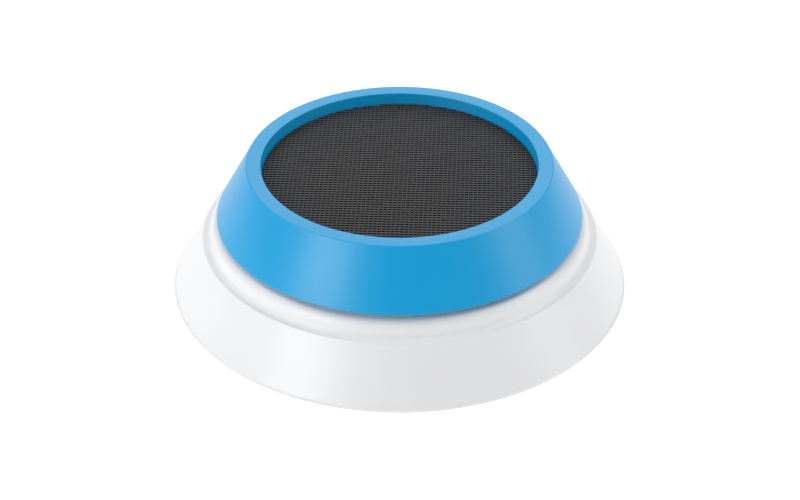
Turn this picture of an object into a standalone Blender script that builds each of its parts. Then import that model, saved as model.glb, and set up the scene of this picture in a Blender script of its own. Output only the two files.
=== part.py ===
"""A round touch mixer for tubes and flasks: a white conical base, a blue dish-shaped head with a rubber mat on it,
and between them a floating drive whose crank swings the head round a small circle while three idlers keep it
from turning. Metres, +Z up. The origin is on the floor, on the axis of the base and of the motor."""

import math
from dataclasses import dataclass

import bmesh
import bpy
from mathutils import Vector

MM = 0.001

# Driving dimensions
BASE_RADIUS = 80 * MM
FOOT_STAND = 0.8 * MM
CONE_TAPER = 0.5465  # radius lost for each unit of height, on the base and on the head
ORBIT = 1.5 * MM  # distance from the drive's axis to the crank pin's axis
PRESS_TRAVEL = 0.8 * MM
SKIRT_LEVEL = 29.0 * MM
RIM_LEVEL = 49.0 * MM
MAT_LEVEL = 45.1 * MM
SKIRT_RADIUS = 64.0 * MM
DISH_RADIUS = 47.7 * MM
DISH_DEPTH_TAPER = 0.4 * MM  # how much narrower the dish is at the mat than at its rim
GAP = 0.3 * MM  # between pieces that touch on the real mixer

# Walls and stack of levels
HOUSING_WALL = 2.6 * MM
HEAD_WALL = 2.5 * MM
STEP_LEVEL = 20.4 * MM
COLLAR_TOP = 31.5 * MM
COLLAR_INNER = 54.5 * MM
PLATE_BOTTOM = 1.6 * MM
PLATE_TOP = 5.6 * MM
CHASSIS_BOTTOM = 14.3 * MM
CHASSIS_TOP = 16.8 * MM
CHASSIS_RADIUS = 44 * MM
TOWER_TOP = 30.7 * MM
FLYWHEEL_BOTTOM = 29.6 * MM
FLYWHEEL_TOP = 32.4 * MM
FLYWHEEL_RADIUS = 31 * MM
MAT_THICKNESS = 1.8 * MM
DISH_FLOOR = 2.4 * MM
FLOOR_TOP = MAT_LEVEL - MAT_THICKNESS - GAP
FLOOR_BOTTOM = FLOOR_TOP - DISH_FLOOR
PLATFORM_TOP = FLOOR_BOTTOM - GAP
PLATFORM_BOTTOM = PLATFORM_TOP - 2.4 * MM
PLATFORM_RADIUS = 43.5 * MM
BOSS_BOTTOM = 34.9 * MM

# Places round the axis, in degrees
IDLER_CIRCLE = 37.5 * MM
IDLER_ANGLES = (90, 210, 330)
BOLT_ANGLES = (30, 150, 270)
FOOT_CIRCLE = 60 * MM
FOOT_ANGLES = (0, 90, 180, 270)
BASE_SCREW_CIRCLE = 62 * MM
BASE_SCREW_ANGLES = (45, 135, 225, 315)
PLATFORM_SCREW_ANGLES = (30, 150, 270)
PLATFORM_SCREW_CIRCLE = 38 * MM
MOTOR_SCREW_CIRCLE = 10.5 * MM

# The rear bay that holds the dial, the switch and the power inlet
PANEL_FACE = 62 * MM
PANEL_WALL = 2.4 * MM
BAY_HALF_ANGLE = math.radians(22.5)  # seen from the axis, on the cone's surface
BAY_LOW = 7.4 * MM
BAY_HIGH = 18.6 * MM
PANEL_MIDDLE = (BAY_LOW + BAY_HIGH) / 2
INLET_X = -18 * MM
ROCKER_X = 18 * MM
ROCKER_AXIS_Y = PANEL_FACE - 1.4 * MM
ROCKER_TILT = math.radians(7)

# Facets round a circle
BIG = 40
MIDDLE = 24
SMALL = 12
TINY = 10
SHARP_ANGLE = math.radians(35)  # creases steeper than this stay sharp on a round piece
FACET_TURN = math.radians(2.3)  # keeps a plate's facet lines off the centres of its holes

HEAD_AXIS = Vector((0, -ORBIT, 0))


@dataclass(frozen=True)
class Finish:
    """The look of one kind of material."""

    name: str
    colour: tuple
    roughness: float
    metallic: float = 0.0


WHITE_ABS = Finish("white_abs", (0.86, 0.87, 0.88), 0.35)
BLUE_ABS = Finish("blue_abs", (0.0, 0.36, 0.69), 0.33)
BLACK_RUBBER = Finish("black_rubber", (0.03, 0.03, 0.032), 0.75)
BLACK_PLASTIC = Finish("black_plastic", (0.02, 0.02, 0.022), 0.45)
PAINTED_STEEL = Finish("painted_steel", (0.22, 0.23, 0.24), 0.5, 0.3)
STEEL = Finish("steel", (0.55, 0.55, 0.56), 0.3, 1.0)
ALUMINIUM = Finish("aluminium", (0.7, 0.7, 0.72), 0.35, 1.0)
BRASS = Finish("brass", (0.72, 0.55, 0.25), 0.3, 1.0)
COPPER = Finish("copper_winding", (0.6, 0.28, 0.12), 0.4, 0.8)
FERRITE = Finish("ferrite", (0.08, 0.08, 0.085), 0.6)
BOARD = Finish("circuit_board", (0.02, 0.16, 0.07), 0.5)
NYLON = Finish("nylon", (0.75, 0.74, 0.68), 0.5)

parts = None
cutters = None


def clear_scene():
    for item in list(bpy.data.objects):
        bpy.data.objects.remove(item, do_unlink=True)


def new_collection(name):
    collection = bpy.data.collections.new(name)
    bpy.context.scene.collection.children.link(collection)
    return collection


def material(finish):
    """The Principled material of a finish, made once."""
    made = bpy.data.materials.get(finish.name)
    if made:
        return made
    made = bpy.data.materials.new(finish.name)
    made.use_nodes = True
    shader = made.node_tree.nodes["Principled BSDF"]
    shader.inputs["Base Color"].default_value = (*finish.colour, 1)
    shader.inputs["Roughness"].default_value = finish.roughness
    shader.inputs["Metallic"].default_value = finish.metallic
    return made


def around(radius, degrees, height=0.0):
    """A point at this radius and angle from the axis."""
    angle = math.radians(degrees)
    return Vector((radius * math.cos(angle), radius * math.sin(angle), height))


def pivot(name, at, parent=None):
    """An empty on a joint's axis, which the joint's pieces hang from."""
    empty = bpy.data.objects.new(name, None)
    empty.empty_display_size = 10 * MM
    parts.objects.link(empty)
    empty.parent = parent
    empty["at"] = tuple(at)
    empty.location = Vector(at) - Vector(parent["at"] if parent else (0, 0, 0))
    return empty


def hang(item, parent, at=(0, 0, 0)):
    """Places a piece in the world, under its joint's empty."""
    item.parent = parent
    item.location = Vector(at) - Vector(parent["at"] if parent else (0, 0, 0))
    return item


def add_object(name, mesh, finish):
    item = bpy.data.objects.new(name, mesh)
    parts.objects.link(item)
    mesh.materials.append(material(finish))
    return item


def turned(name, outline, finish, steps=MIDDLE, closed=False):
    """A solid of revolution about local Z. The outline's points are (radius, height), from the top down the
    outer side, and a closed outline makes a ring."""
    mesh = bpy.data.meshes.new(name)
    count = len(outline)
    edges = [(i, i + 1) for i in range(count - 1)]
    if closed:
        edges.append((count - 1, 0))
    mesh.from_pydata([(r, 0, z) for r, z in outline], edges, [])
    item = add_object(name, mesh, finish)
    screw = item.modifiers.new("Turn", "SCREW")
    screw.steps = steps
    screw.render_steps = steps
    screw.use_merge_vertices = True
    screw.merge_threshold = 0.00001
    graph = bpy.context.evaluated_depsgraph_get()
    solid = bpy.data.meshes.new_from_object(item.evaluated_get(graph))
    solid.shade_smooth()
    solid.set_sharp_from_angle(angle=SHARP_ANGLE)
    item.modifiers.clear()
    item.data = solid
    return item


def cylinder(name, radius, low, high, finish, steps=SMALL):
    return turned(name, [(0, high), (radius, high), (radius, low), (0, low)], finish, steps)


def ring(name, inner, outer, low, high, finish, steps=MIDDLE):
    return turned(name, [(inner, high), (outer, high), (outer, low), (inner, low)], finish, steps, closed=True)


def block(name, low, high, finish):
    """A box between two corners."""
    mesh = bpy.data.meshes.new(name)
    shape = bmesh.new()
    bmesh.ops.create_cube(shape, size=1)
    low = Vector(low)
    high = Vector(high)
    for vertex in shape.verts:
        for axis in range(3):
            vertex.co[axis] = low[axis] if vertex.co[axis] < 0 else high[axis]
    shape.to_mesh(mesh)
    shape.free()
    return add_object(name, mesh, finish)


def as_cutter(item):
    """Keeps a shape out of the assembly, for Booleans only."""
    parts.objects.unlink(item)
    cutters.objects.link(item)
    item.hide_render = True
    item.display_type = "WIRE"
    return item


def combine(item, other, operation):
    boolean = item.modifiers.new(operation.title(), "BOOLEAN")
    boolean.operation = operation
    boolean.solver = "EXACT"
    boolean.object = as_cutter(other)
    return item


def cut(item, other):
    return combine(item, other, "DIFFERENCE")


def join(item, other):
    return combine(item, other, "UNION")


def lies_along_y(item):
    """Turns a solid of revolution so that its local Z points to the rear."""
    item.rotation_euler = (-math.pi / 2, 0, 0)
    return item


def drill(item, name, radius, low, high, at, steps=SMALL):
    """Cuts an upright round hole through a piece that stands at the world's origin or under it."""
    hole = cylinder(name, radius, low, high, STEEL, steps)
    hole.location = Vector(at)
    return cut(item, hole)


def base_radius(level):
    """The outer radius of the base's cone at a world height."""
    return 79.76 * MM - CONE_TAPER * (level - FOOT_STAND)


def head_radius(level):
    """The outer radius of the head's cone at a world height."""
    return SKIRT_RADIUS - CONE_TAPER * (level - SKIRT_LEVEL)


def arc(centre, radius, start, end, count):
    """Points on an arc in an outline, angles in degrees from the outward direction."""
    points = []
    for i in range(count):
        angle = math.radians(start + (end - start) * i / (count - 1))
        points.append((centre[0] + radius * math.cos(angle), centre[1] + radius * math.sin(angle)))
    return points


def housing_outline():
    """The outer side of the base: collar, ledge under the skirt, rounded shoulder, groove and cone."""
    shoulder = (base_radius(STEP_LEVEL) - 6.9 * MM, STEP_LEVEL + 2.4 * MM)
    groove = (base_radius(STEP_LEVEL) - 0.45 * MM, STEP_LEVEL + 2.35 * MM)
    outline = [(COLLAR_INNER + 2 * MM, COLLAR_TOP), (COLLAR_INNER + 2 * MM, STEP_LEVEL + 6.6 * MM)]
    outline += arc(shoulder, 3.9 * MM, 72, 8, 5)
    outline += arc(groove, 2.3 * MM, 188, 262, 4)
    outline.append((base_radius(STEP_LEVEL), STEP_LEVEL))
    outline.append((base_radius(FOOT_STAND + 2 * MM), FOOT_STAND + 2 * MM))
    outline.append((BASE_RADIUS, FOOT_STAND + 0.4 * MM))
    outline.append((BASE_RADIUS - 0.4 * MM, FOOT_STAND))
    return outline


def inside_wall(level):
    return base_radius(level) - HOUSING_WALL / math.sin(math.atan(1 / CONE_TAPER))


def cavity_outline():
    """The hollow of the base, from above the collar down past the bottom edge."""
    return [
        (0, COLLAR_TOP + MM),
        (COLLAR_INNER, COLLAR_TOP + MM),
        (COLLAR_INNER, STEP_LEVEL + 4 * MM),
        (59.0 * MM, STEP_LEVEL + 3.6 * MM),
        (62.6 * MM, STEP_LEVEL + 2.2 * MM),
        (63.6 * MM, STEP_LEVEL - 1.6 * MM),
        (inside_wall(STEP_LEVEL - 4 * MM), STEP_LEVEL - 4 * MM),
        (inside_wall(0), 0),
        (0, 0),
    ]


def bay_block(name, near, low, high, spare):
    """A block from a plane at the rear out past the base, whose ends lean in with the cone."""
    item = block(name, (-1, near, low), (1, BASE_RADIUS + 5 * MM, high), WHITE_ABS)
    for vertex in item.data.vertices:
        vertex.co.x *= base_radius(vertex.co.z) * math.sin(BAY_HALF_ANGLE) + spare
    return item


def build_base_housing():
    outline = [(0, COLLAR_TOP)] + housing_outline() + [(0, FOOT_STAND)]
    housing = turned("base_housing", outline, WHITE_ABS, BIG)
    cavity = turned("housing_cavity", cavity_outline(), WHITE_ABS, BIG)
    roof = 1.6 * MM
    inside = PANEL_FACE - PANEL_WALL
    cut(cavity, bay_block("bay_surround", inside, PLATE_TOP + GAP, BAY_HIGH + roof, 2 * MM))
    for number, angle in enumerate(BASE_SCREW_ANGLES, 1):
        boss = cylinder(f"screw_boss_{number}", 4.5 * MM, PLATE_TOP + GAP, STEP_LEVEL + 6 * MM, WHITE_ABS)
        boss.location = around(BASE_SCREW_CIRCLE, angle)
        cut(cavity, boss)
    cut(housing, cavity)
    cut(housing, bay_block("bay_hollow", PANEL_FACE, BAY_LOW, BAY_HIGH, 0))
    for number, angle in enumerate(BASE_SCREW_ANGLES, 1):
        drill(housing, f"boss_pilot_{number}", 1.8 * MM, PLATE_TOP, 14 * MM, around(BASE_SCREW_CIRCLE, angle), TINY)
    cut_panel(housing)
    return hang(housing, None)


def cut_panel(housing):
    """The holes in the bay's panel for the dial's shaft, the rocker switch and the inlet."""
    behind = PANEL_FACE - PANEL_WALL - MM
    ahead = PANEL_FACE + MM
    for name, x, radius in (("dial_hole", 0, 3.4 * MM), ("inlet_hole", INLET_X, 4.4 * MM)):
        hole = lies_along_y(cylinder(name, radius, behind, ahead, WHITE_ABS))
        hole.location = (x, 0, PANEL_MIDDLE)
        cut(housing, hole)
    window = block(
        "rocker_window",
        (ROCKER_X - 6.3 * MM, behind, PANEL_MIDDLE - 4.3 * MM),
        (ROCKER_X + 6.3 * MM, ahead, PANEL_MIDDLE + 4.3 * MM),
        WHITE_ABS,
    )
    cut(housing, window)


def build_base_plate():
    """A heavy steel plate that closes the base and holds it down."""
    edge_gap = 0.7 * MM
    plate = turned(
        "base_plate",
        [
            (0, PLATE_TOP),
            (inside_wall(PLATE_TOP) - edge_gap, PLATE_TOP),
            (inside_wall(PLATE_BOTTOM) - edge_gap, PLATE_BOTTOM),
            (0, PLATE_BOTTOM),
        ],
        PAINTED_STEEL,
        BIG,
    )
    for number, angle in enumerate(FOOT_ANGLES, 1):
        drill(plate, f"foot_recess_{number}", 8.3 * MM, 0, 3.6 * MM, around(FOOT_CIRCLE, angle), 20)
    for number, angle in enumerate(BASE_SCREW_ANGLES, 1):
        place = around(BASE_SCREW_CIRCLE, angle)
        recess = turned(
            f"screw_recess_{number}",
            [(0, 7 * MM), (1.8 * MM, 7 * MM), (1.8 * MM, 3.9 * MM), (3.4 * MM, 3.9 * MM), (3.4 * MM, 0), (0, 0)],
            STEEL,
            TINY,
        )
        recess.location = place
        cut(plate, recess)
    for number, angle in enumerate(BOLT_ANGLES, 1):
        drill(plate, f"bolt_seat_{number}", 2.3 * MM, 3 * MM, 8 * MM, around(IDLER_CIRCLE, angle), TINY)
    for number, y in enumerate((-9.5 * MM, 9.5 * MM), 1):
        standoff = cylinder(f"board_standoff_{number}", 2 * MM, 4 * MM, 7 * MM, STEEL, TINY)
        standoff.location = (-56 * MM, y, 0)
        join(plate, standoff)
    return hang(plate, None)


def build_feet():
    for number, angle in enumerate(FOOT_ANGLES, 1):
        outline = [(0, 3.3 * MM), (8 * MM, 3.3 * MM), (8 * MM, 0.6 * MM), (7.4 * MM, 0), (0, 0)]
        foot = turned(f"rubber_foot_{number}", outline, BLACK_RUBBER, 20)
        hang(foot, None, around(FOOT_CIRCLE, angle))


def screw_outline(cap_radius, shank_radius, head_low, head_high, shank_high):
    """A screw that points up, with its head below."""
    return [
        (0, shank_high),
        (shank_radius, shank_high),
        (shank_radius, head_high),
        (cap_radius, head_high),
        (cap_radius, head_low + 0.4 * MM),
        (cap_radius - 0.6 * MM, head_low),
        (0, head_low),
    ]


def build_base_screws():
    for number, angle in enumerate(BASE_SCREW_ANGLES, 1):
        outline = screw_outline(3 * MM, 1.5 * MM, 1.9 * MM, 3.6 * MM, 13 * MM)
        hang(turned(f"base_screw_{number}", outline, STEEL, TINY), None, around(BASE_SCREW_CIRCLE, angle))


def build_guide_bolts():
    """Shoulder bolts that the drive slides on. Their heads are its upper stop."""
    low = PLATE_BOTTOM + 1.8 * MM
    seat = CHASSIS_TOP + 1.1 * MM
    for number, angle in enumerate(BOLT_ANGLES, 1):
        outline = [
            (0, seat + 2 * MM),
            (3.6 * MM, seat + 2 * MM),
            (4 * MM, seat + 1.6 * MM),
            (4 * MM, seat),
            (2 * MM, seat),
            (2 * MM, low),
            (0, low),
        ]
        hang(turned(f"guide_bolt_{number}", outline, STEEL, SMALL), None, around(IDLER_CIRCLE, angle))


def build_press_springs():
    """Coil springs round the guide bolts, between the base plate and the chassis."""
    wire = 0.45 * MM
    turns = 4
    per_turn = 10
    low = PLATE_TOP + GAP + wire
    high = CHASSIS_BOTTOM - GAP - wire
    for number, angle in enumerate(BOLT_ANGLES, 1):
        curve = bpy.data.curves.new(f"press_spring_{number}", "CURVE")
        curve.dimensions = "3D"
        curve.bevel_depth = wire
        curve.bevel_resolution = 2
        curve.use_fill_caps = True
        spline = curve.splines.new("POLY")
        count = turns * per_turn + 1
        spline.points.add(count - 1)
        for i in range(count):
            turn = 2 * math.pi * i / per_turn
            share = i / (count - 1)
            spline.points[i].co = (
                3.4 * MM * math.cos(turn),
                3.4 * MM * math.sin(turn),
                low + (high - low) * share,
                1,
            )
        item = bpy.data.objects.new(f"press_spring_{number}", curve)
        parts.objects.link(item)
        curve.materials.append(material(STEEL))
        hang(item, None, around(IDLER_CIRCLE, angle))


def build_electronics():
    """The motor's control board with its capacitor, and the switch that the pressed drive closes."""
    low = 7.3 * MM
    board = block("control_board", (-65 * MM, -13 * MM, low), (-31 * MM, 13 * MM, low + 1.6 * MM), BOARD)
    hang(board, None)
    capacitor = cylinder("smoothing_capacitor", 4 * MM, low + 1.9 * MM, low + 9 * MM, BLACK_PLASTIC)
    hang(capacitor, None, (-55 * MM, 0, 0))
    deck = low + 1.9 * MM
    switch = block("microswitch", (-41 * MM, -3 * MM, deck), (-33 * MM, 3 * MM, deck + 3.4 * MM), BLACK_PLASTIC)
    slot = block(
        "plunger_slot",
        (-37.9 * MM, -1.5 * MM, deck + 2.1 * MM - PRESS_TRAVEL - GAP),
        (-36.1 * MM, 1.5 * MM, deck + 5 * MM),
        BLACK_PLASTIC,
    )
    hang(cut(switch, slot), None)
    axis = pivot("plunger_axis", (-37 * MM, 0, 0))
    plunger = block(
        "switch_plunger",
        (-0.6 * MM, -1.2 * MM, deck + 2.1 * MM),
        (0.6 * MM, 1.2 * MM, CHASSIS_BOTTOM - GAP),
        BRASS,
    )
    hang(plunger, axis, (-37 * MM, 0, 0))


def build_chassis(carriage):
    """The floating plate with three bearing towers for the idlers."""
    plate = turned(
        "chassis_plate",
        [
            (8.3 * MM, CHASSIS_TOP),
            (CHASSIS_RADIUS, CHASSIS_TOP),
            (CHASSIS_RADIUS, CHASSIS_BOTTOM),
            (8.3 * MM, CHASSIS_BOTTOM),
        ],
        ALUMINIUM,
        BIG,
        closed=True,
    )
    plate.rotation_euler = (0, 0, FACET_TURN)
    for number, angle in enumerate(BOLT_ANGLES, 1):
        low = CHASSIS_BOTTOM - MM
        drill(plate, f"motor_hole_{number}", 1.4 * MM, low, CHASSIS_TOP + MM, around(MOTOR_SCREW_CIRCLE, angle), TINY)
    for number, angle in enumerate(IDLER_ANGLES, 1):
        tower = cylinder(f"idler_tower_{number}", 5 * MM, CHASSIS_BOTTOM + MM, TOWER_TOP, ALUMINIUM)
        tower.location = around(IDLER_CIRCLE, angle)
        join(plate, tower)
    for number, angle in enumerate(IDLER_ANGLES, 1):
        low = CHASSIS_BOTTOM - MM
        drill(plate, f"tower_bore_{number}", 3.7 * MM, low, TOWER_TOP + MM, around(IDLER_CIRCLE, angle))
    for number, angle in enumerate(BOLT_ANGLES, 1):
        low = CHASSIS_BOTTOM - MM
        drill(plate, f"guide_bore_{number}", 3.4 * MM, low, CHASSIS_TOP + MM, around(IDLER_CIRCLE, angle))
    hang(plate, carriage)
    for number, angle in enumerate(BOLT_ANGLES, 1):
        bush = turned(
            f"guide_bush_{number}",
            [
                (2.3 * MM, CHASSIS_TOP + 0.9 * MM),
                (4.2 * MM, CHASSIS_TOP + 0.9 * MM),
                (4.2 * MM, CHASSIS_TOP + GAP),
                (3.1 * MM, CHASSIS_TOP + GAP),
                (3.1 * MM, CHASSIS_BOTTOM + 0.2 * MM),
                (2.3 * MM, CHASSIS_BOTTOM + 0.2 * MM),
            ],
            NYLON,
            SMALL,
            closed=True,
        )
        hang(bush, carriage, around(IDLER_CIRCLE, angle))
    for number, angle in enumerate(IDLER_ANGLES, 1):
        low = CHASSIS_BOTTOM + 0.5 * MM
        bush = ring(f"idler_bush_{number}", 2.3 * MM, 3.3 * MM, low, TOWER_TOP - GAP, BRASS, SMALL)
        hang(bush, carriage, around(IDLER_CIRCLE, angle))


def build_motor(carriage):
    """The motor's fixed half: mount with bearing tube, two bearings, wound stator and screws."""
    low = CHASSIS_TOP + GAP
    mount = turned(
        "motor_mount",
        [
            (4.4 * MM, 27.2 * MM),
            (5.6 * MM, 27.2 * MM),
            (5.6 * MM, low + 2 * MM),
            (14 * MM, low + 2 * MM),
            (14 * MM, low),
            (7.9 * MM, low),
            (7.9 * MM, CHASSIS_BOTTOM + 0.4 * MM),
            (4.4 * MM, CHASSIS_BOTTOM + 0.4 * MM),
        ],
        ALUMINIUM,
        closed=True,
    )
    for number, angle in enumerate(BOLT_ANGLES, 1):
        drill(mount, f"mount_hole_{number}", 1.3 * MM, low - MM, low + 3 * MM, around(MOTOR_SCREW_CIRCLE, angle), TINY)
    hang(mount, carriage)
    for name, start in (("motor_bearing_lower", 16 * MM), ("motor_bearing_upper", 24 * MM)):
        hang(ring(name, 1.8 * MM, 4.1 * MM, start, start + 3 * MM, STEEL, SMALL), carriage)
    hang(build_stator(), carriage)
    for number, angle in enumerate(BOLT_ANGLES, 1):
        head_low = CHASSIS_BOTTOM - 1.7 * MM
        outline = screw_outline(2.2 * MM, 1 * MM, head_low, CHASSIS_BOTTOM - GAP, low + 1.8 * MM)
        screw = turned(f"motor_screw_{number}", outline, STEEL, TINY)
        hang(screw, carriage, around(MOTOR_SCREW_CIRCLE, angle))


def build_stator():
    """A ring of nine wound teeth."""
    stator = ring("motor_stator", 5.9 * MM, 16.4 * MM, 20 * MM, 26.4 * MM, COPPER, 36)
    for tooth in range(9):
        angle = math.radians(40 * tooth)
        slot = block(f"stator_slot_{tooth}", (9 * MM, -0.9 * MM, 19 * MM), (18 * MM, 0.9 * MM, 28 * MM), COPPER)
        slot.rotation_euler = (0, 0, angle)
        cut(stator, slot)
    return stator


def build_crank(drive):
    """What the motor turns: shaft, rotor bell with its magnets, and the flywheel with its eccentric pin."""
    hang(cylinder("motor_shaft", 1.5 * MM, 15.4 * MM, FLYWHEEL_TOP - 0.8 * MM, STEEL), drive)
    bell_top = 28.9 * MM
    bell = turned(
        "rotor_bell",
        [
            (1.8 * MM, bell_top),
            (19.4 * MM, bell_top),
            (20 * MM, bell_top - 0.6 * MM),
            (20 * MM, 19.8 * MM),
            (18.9 * MM, 19.8 * MM),
            (18.9 * MM, bell_top - 1.2 * MM),
            (1.8 * MM, bell_top - 1.2 * MM),
        ],
        STEEL,
        BIG,
        closed=True,
    )
    hang(bell, drive)
    hang(ring("magnet_ring", 17.2 * MM, 18.6 * MM, 20 * MM, 26.6 * MM, FERRITE, 36), drive)
    hang(build_flywheel(), drive)
    hang(build_counterweight(), drive)
    for number, angle in enumerate((60, 120), 1):
        outline = screw_outline(2 * MM, 1 * MM, 0, 0.9 * MM, 2.9 * MM)
        screw = turned(f"counterweight_screw_{number}", outline, STEEL, TINY)
        screw.rotation_euler = (math.pi, 0, 0)
        hang(screw, drive, around(23 * MM, angle, FLYWHEEL_TOP + 1.9 * MM))


def build_flywheel():
    """A steel disc that the head's crank pin stands on, bored from below for the motor's shaft."""
    flywheel = turned(
        "flywheel",
        [
            (0, FLYWHEEL_TOP),
            (FLYWHEEL_RADIUS - 0.5 * MM, FLYWHEEL_TOP),
            (FLYWHEEL_RADIUS, FLYWHEEL_TOP - 0.5 * MM),
            (FLYWHEEL_RADIUS, FLYWHEEL_BOTTOM),
            (0, FLYWHEEL_BOTTOM),
        ],
        STEEL,
        BIG,
    )
    pin = cylinder("eccentric_pin", 2.5 * MM, FLYWHEEL_TOP - MM, PLATFORM_TOP - 0.8 * MM, STEEL)
    pin.location = HEAD_AXIS
    join(flywheel, pin)
    shoulder = cylinder("eccentric_shoulder", 4 * MM, FLYWHEEL_TOP - 0.7 * MM, FLYWHEEL_TOP + 2 * MM, STEEL)
    shoulder.location = HEAD_AXIS
    join(flywheel, shoulder)
    drill(flywheel, "shaft_bore", 1.8 * MM, FLYWHEEL_BOTTOM - MM, FLYWHEEL_TOP - 0.5 * MM, (0, 0, 0))
    for number, angle in enumerate((60, 120), 1):
        place = around(23 * MM, angle)
        drill(flywheel, f"weight_hole_{number}", 1.3 * MM, FLYWHEEL_TOP - 2 * MM, FLYWHEEL_TOP + MM, place, TINY)
    return flywheel


def build_counterweight():
    """A brass half ring across from the crank pin, so that the swinging head is in balance."""
    low = FLYWHEEL_TOP + GAP
    weight = ring("counterweight", 15 * MM, 30 * MM, low, low + 1.6 * MM, BRASS, MIDDLE)
    cut(weight, block("weight_cut", (-40 * MM, -40 * MM, low - MM), (40 * MM, 4 * MM, low + 4 * MM), BRASS))
    for number, angle in enumerate((60, 120), 1):
        drill(weight, f"weight_recess_{number}", 2.4 * MM, low + 0.5 * MM, low + 3 * MM, around(23 * MM, angle), TINY)
        drill(weight, f"weight_bore_{number}", 1.4 * MM, low - MM, low + 3 * MM, around(23 * MM, angle), TINY)
    return weight


def build_idlers(carriage):
    """Three small cranks with the drive's own throw. They let the head circle and keep it from turning."""
    for number, angle in enumerate(IDLER_ANGLES, 1):
        place = around(IDLER_CIRCLE, angle)
        axis = pivot(f"idler_axis_{number}", place, carriage)
        web_low = TOWER_TOP + GAP
        web_high = BOSS_BOTTOM - 0.6 * MM
        crank = turned(
            f"idler_crank_{number}",
            [
                (0, web_high),
                (3.8 * MM, web_high),
                (3.8 * MM, web_low),
                (2 * MM, web_low),
                (2 * MM, CHASSIS_BOTTOM + 0.5 * MM),
                (0, CHASSIS_BOTTOM + 0.5 * MM),
            ],
            STEEL,
            SMALL,
        )
        pin = cylinder(f"idler_pin_{number}", 1.5 * MM, web_high - MM, PLATFORM_TOP - 0.4 * MM, STEEL)
        pin.location = place + HEAD_AXIS
        join(crank, pin)
        hang(crank, axis, place)


def build_platform(head):
    """The aluminium plate under the dish, with a boss for the crank pin's bearing and three for the idlers."""
    plate = turned(
        "platform_plate",
        [
            (6.6 * MM, PLATFORM_TOP),
            (PLATFORM_RADIUS, PLATFORM_TOP),
            (PLATFORM_RADIUS, PLATFORM_BOTTOM),
            (10.5 * MM, PLATFORM_BOTTOM),
            (10.5 * MM, BOSS_BOTTOM),
            (8.3 * MM, BOSS_BOTTOM),
            (8.3 * MM, PLATFORM_TOP - 0.7 * MM),
            (6.6 * MM, PLATFORM_TOP - 0.7 * MM),
        ],
        ALUMINIUM,
        BIG,
        closed=True,
    )
    plate.rotation_euler = (0, 0, FACET_TURN)
    for number, angle in enumerate(IDLER_ANGLES, 1):
        boss = cylinder(f"idler_boss_{number}", 4.5 * MM, BOSS_BOTTOM, PLATFORM_BOTTOM + MM, ALUMINIUM)
        boss.location = around(IDLER_CIRCLE, angle) + HEAD_AXIS
        join(plate, boss)
    for number, angle in enumerate(IDLER_ANGLES, 1):
        place = around(IDLER_CIRCLE, angle) + HEAD_AXIS
        drill(plate, f"idler_bore_{number}", 1.8 * MM, BOSS_BOTTOM - MM, PLATFORM_TOP + MM, place)
    for number, angle in enumerate(PLATFORM_SCREW_ANGLES, 1):
        place = around(PLATFORM_SCREW_CIRCLE, angle) + HEAD_AXIS
        drill(plate, f"plate_screw_hole_{number}", 1.8 * MM, PLATFORM_BOTTOM - MM, PLATFORM_TOP + MM, place, TINY)
    hang(plate, head, HEAD_AXIS)
    bearing = ring("platform_bearing", 2.8 * MM, 8 * MM, BOSS_BOTTOM, PLATFORM_TOP - MM, STEEL, MIDDLE)
    hang(bearing, head, HEAD_AXIS)


def dish_outline():
    """The head's section: rim, outer cone, hem, inside of the skirt, underside, and back up the dish."""
    wall = HEAD_WALL / math.sin(math.atan(1 / CONE_TAPER))
    inner_low = DISH_RADIUS - DISH_DEPTH_TAPER
    under = FLOOR_TOP + 1.2 * MM
    return [
        (0, FLOOR_TOP),
        (inner_low, FLOOR_TOP),
        (DISH_RADIUS - 0.03 * MM, RIM_LEVEL - 0.3 * MM),
        (DISH_RADIUS + 0.2 * MM, RIM_LEVEL),
        (head_radius(RIM_LEVEL) - 0.4 * MM, RIM_LEVEL),
        (head_radius(RIM_LEVEL - 0.5 * MM), RIM_LEVEL - 0.5 * MM),
        (head_radius(SKIRT_LEVEL + 0.4 * MM), SKIRT_LEVEL + 0.4 * MM),
        (SKIRT_RADIUS - 0.4 * MM, SKIRT_LEVEL),
        (SKIRT_RADIUS - wall, SKIRT_LEVEL),
        (head_radius(under) - wall, under),
        (inner_low + 2.5 * MM, under),
        (inner_low + 1.9 * MM, FLOOR_BOTTOM),
        (0, FLOOR_BOTTOM),
    ]


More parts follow.
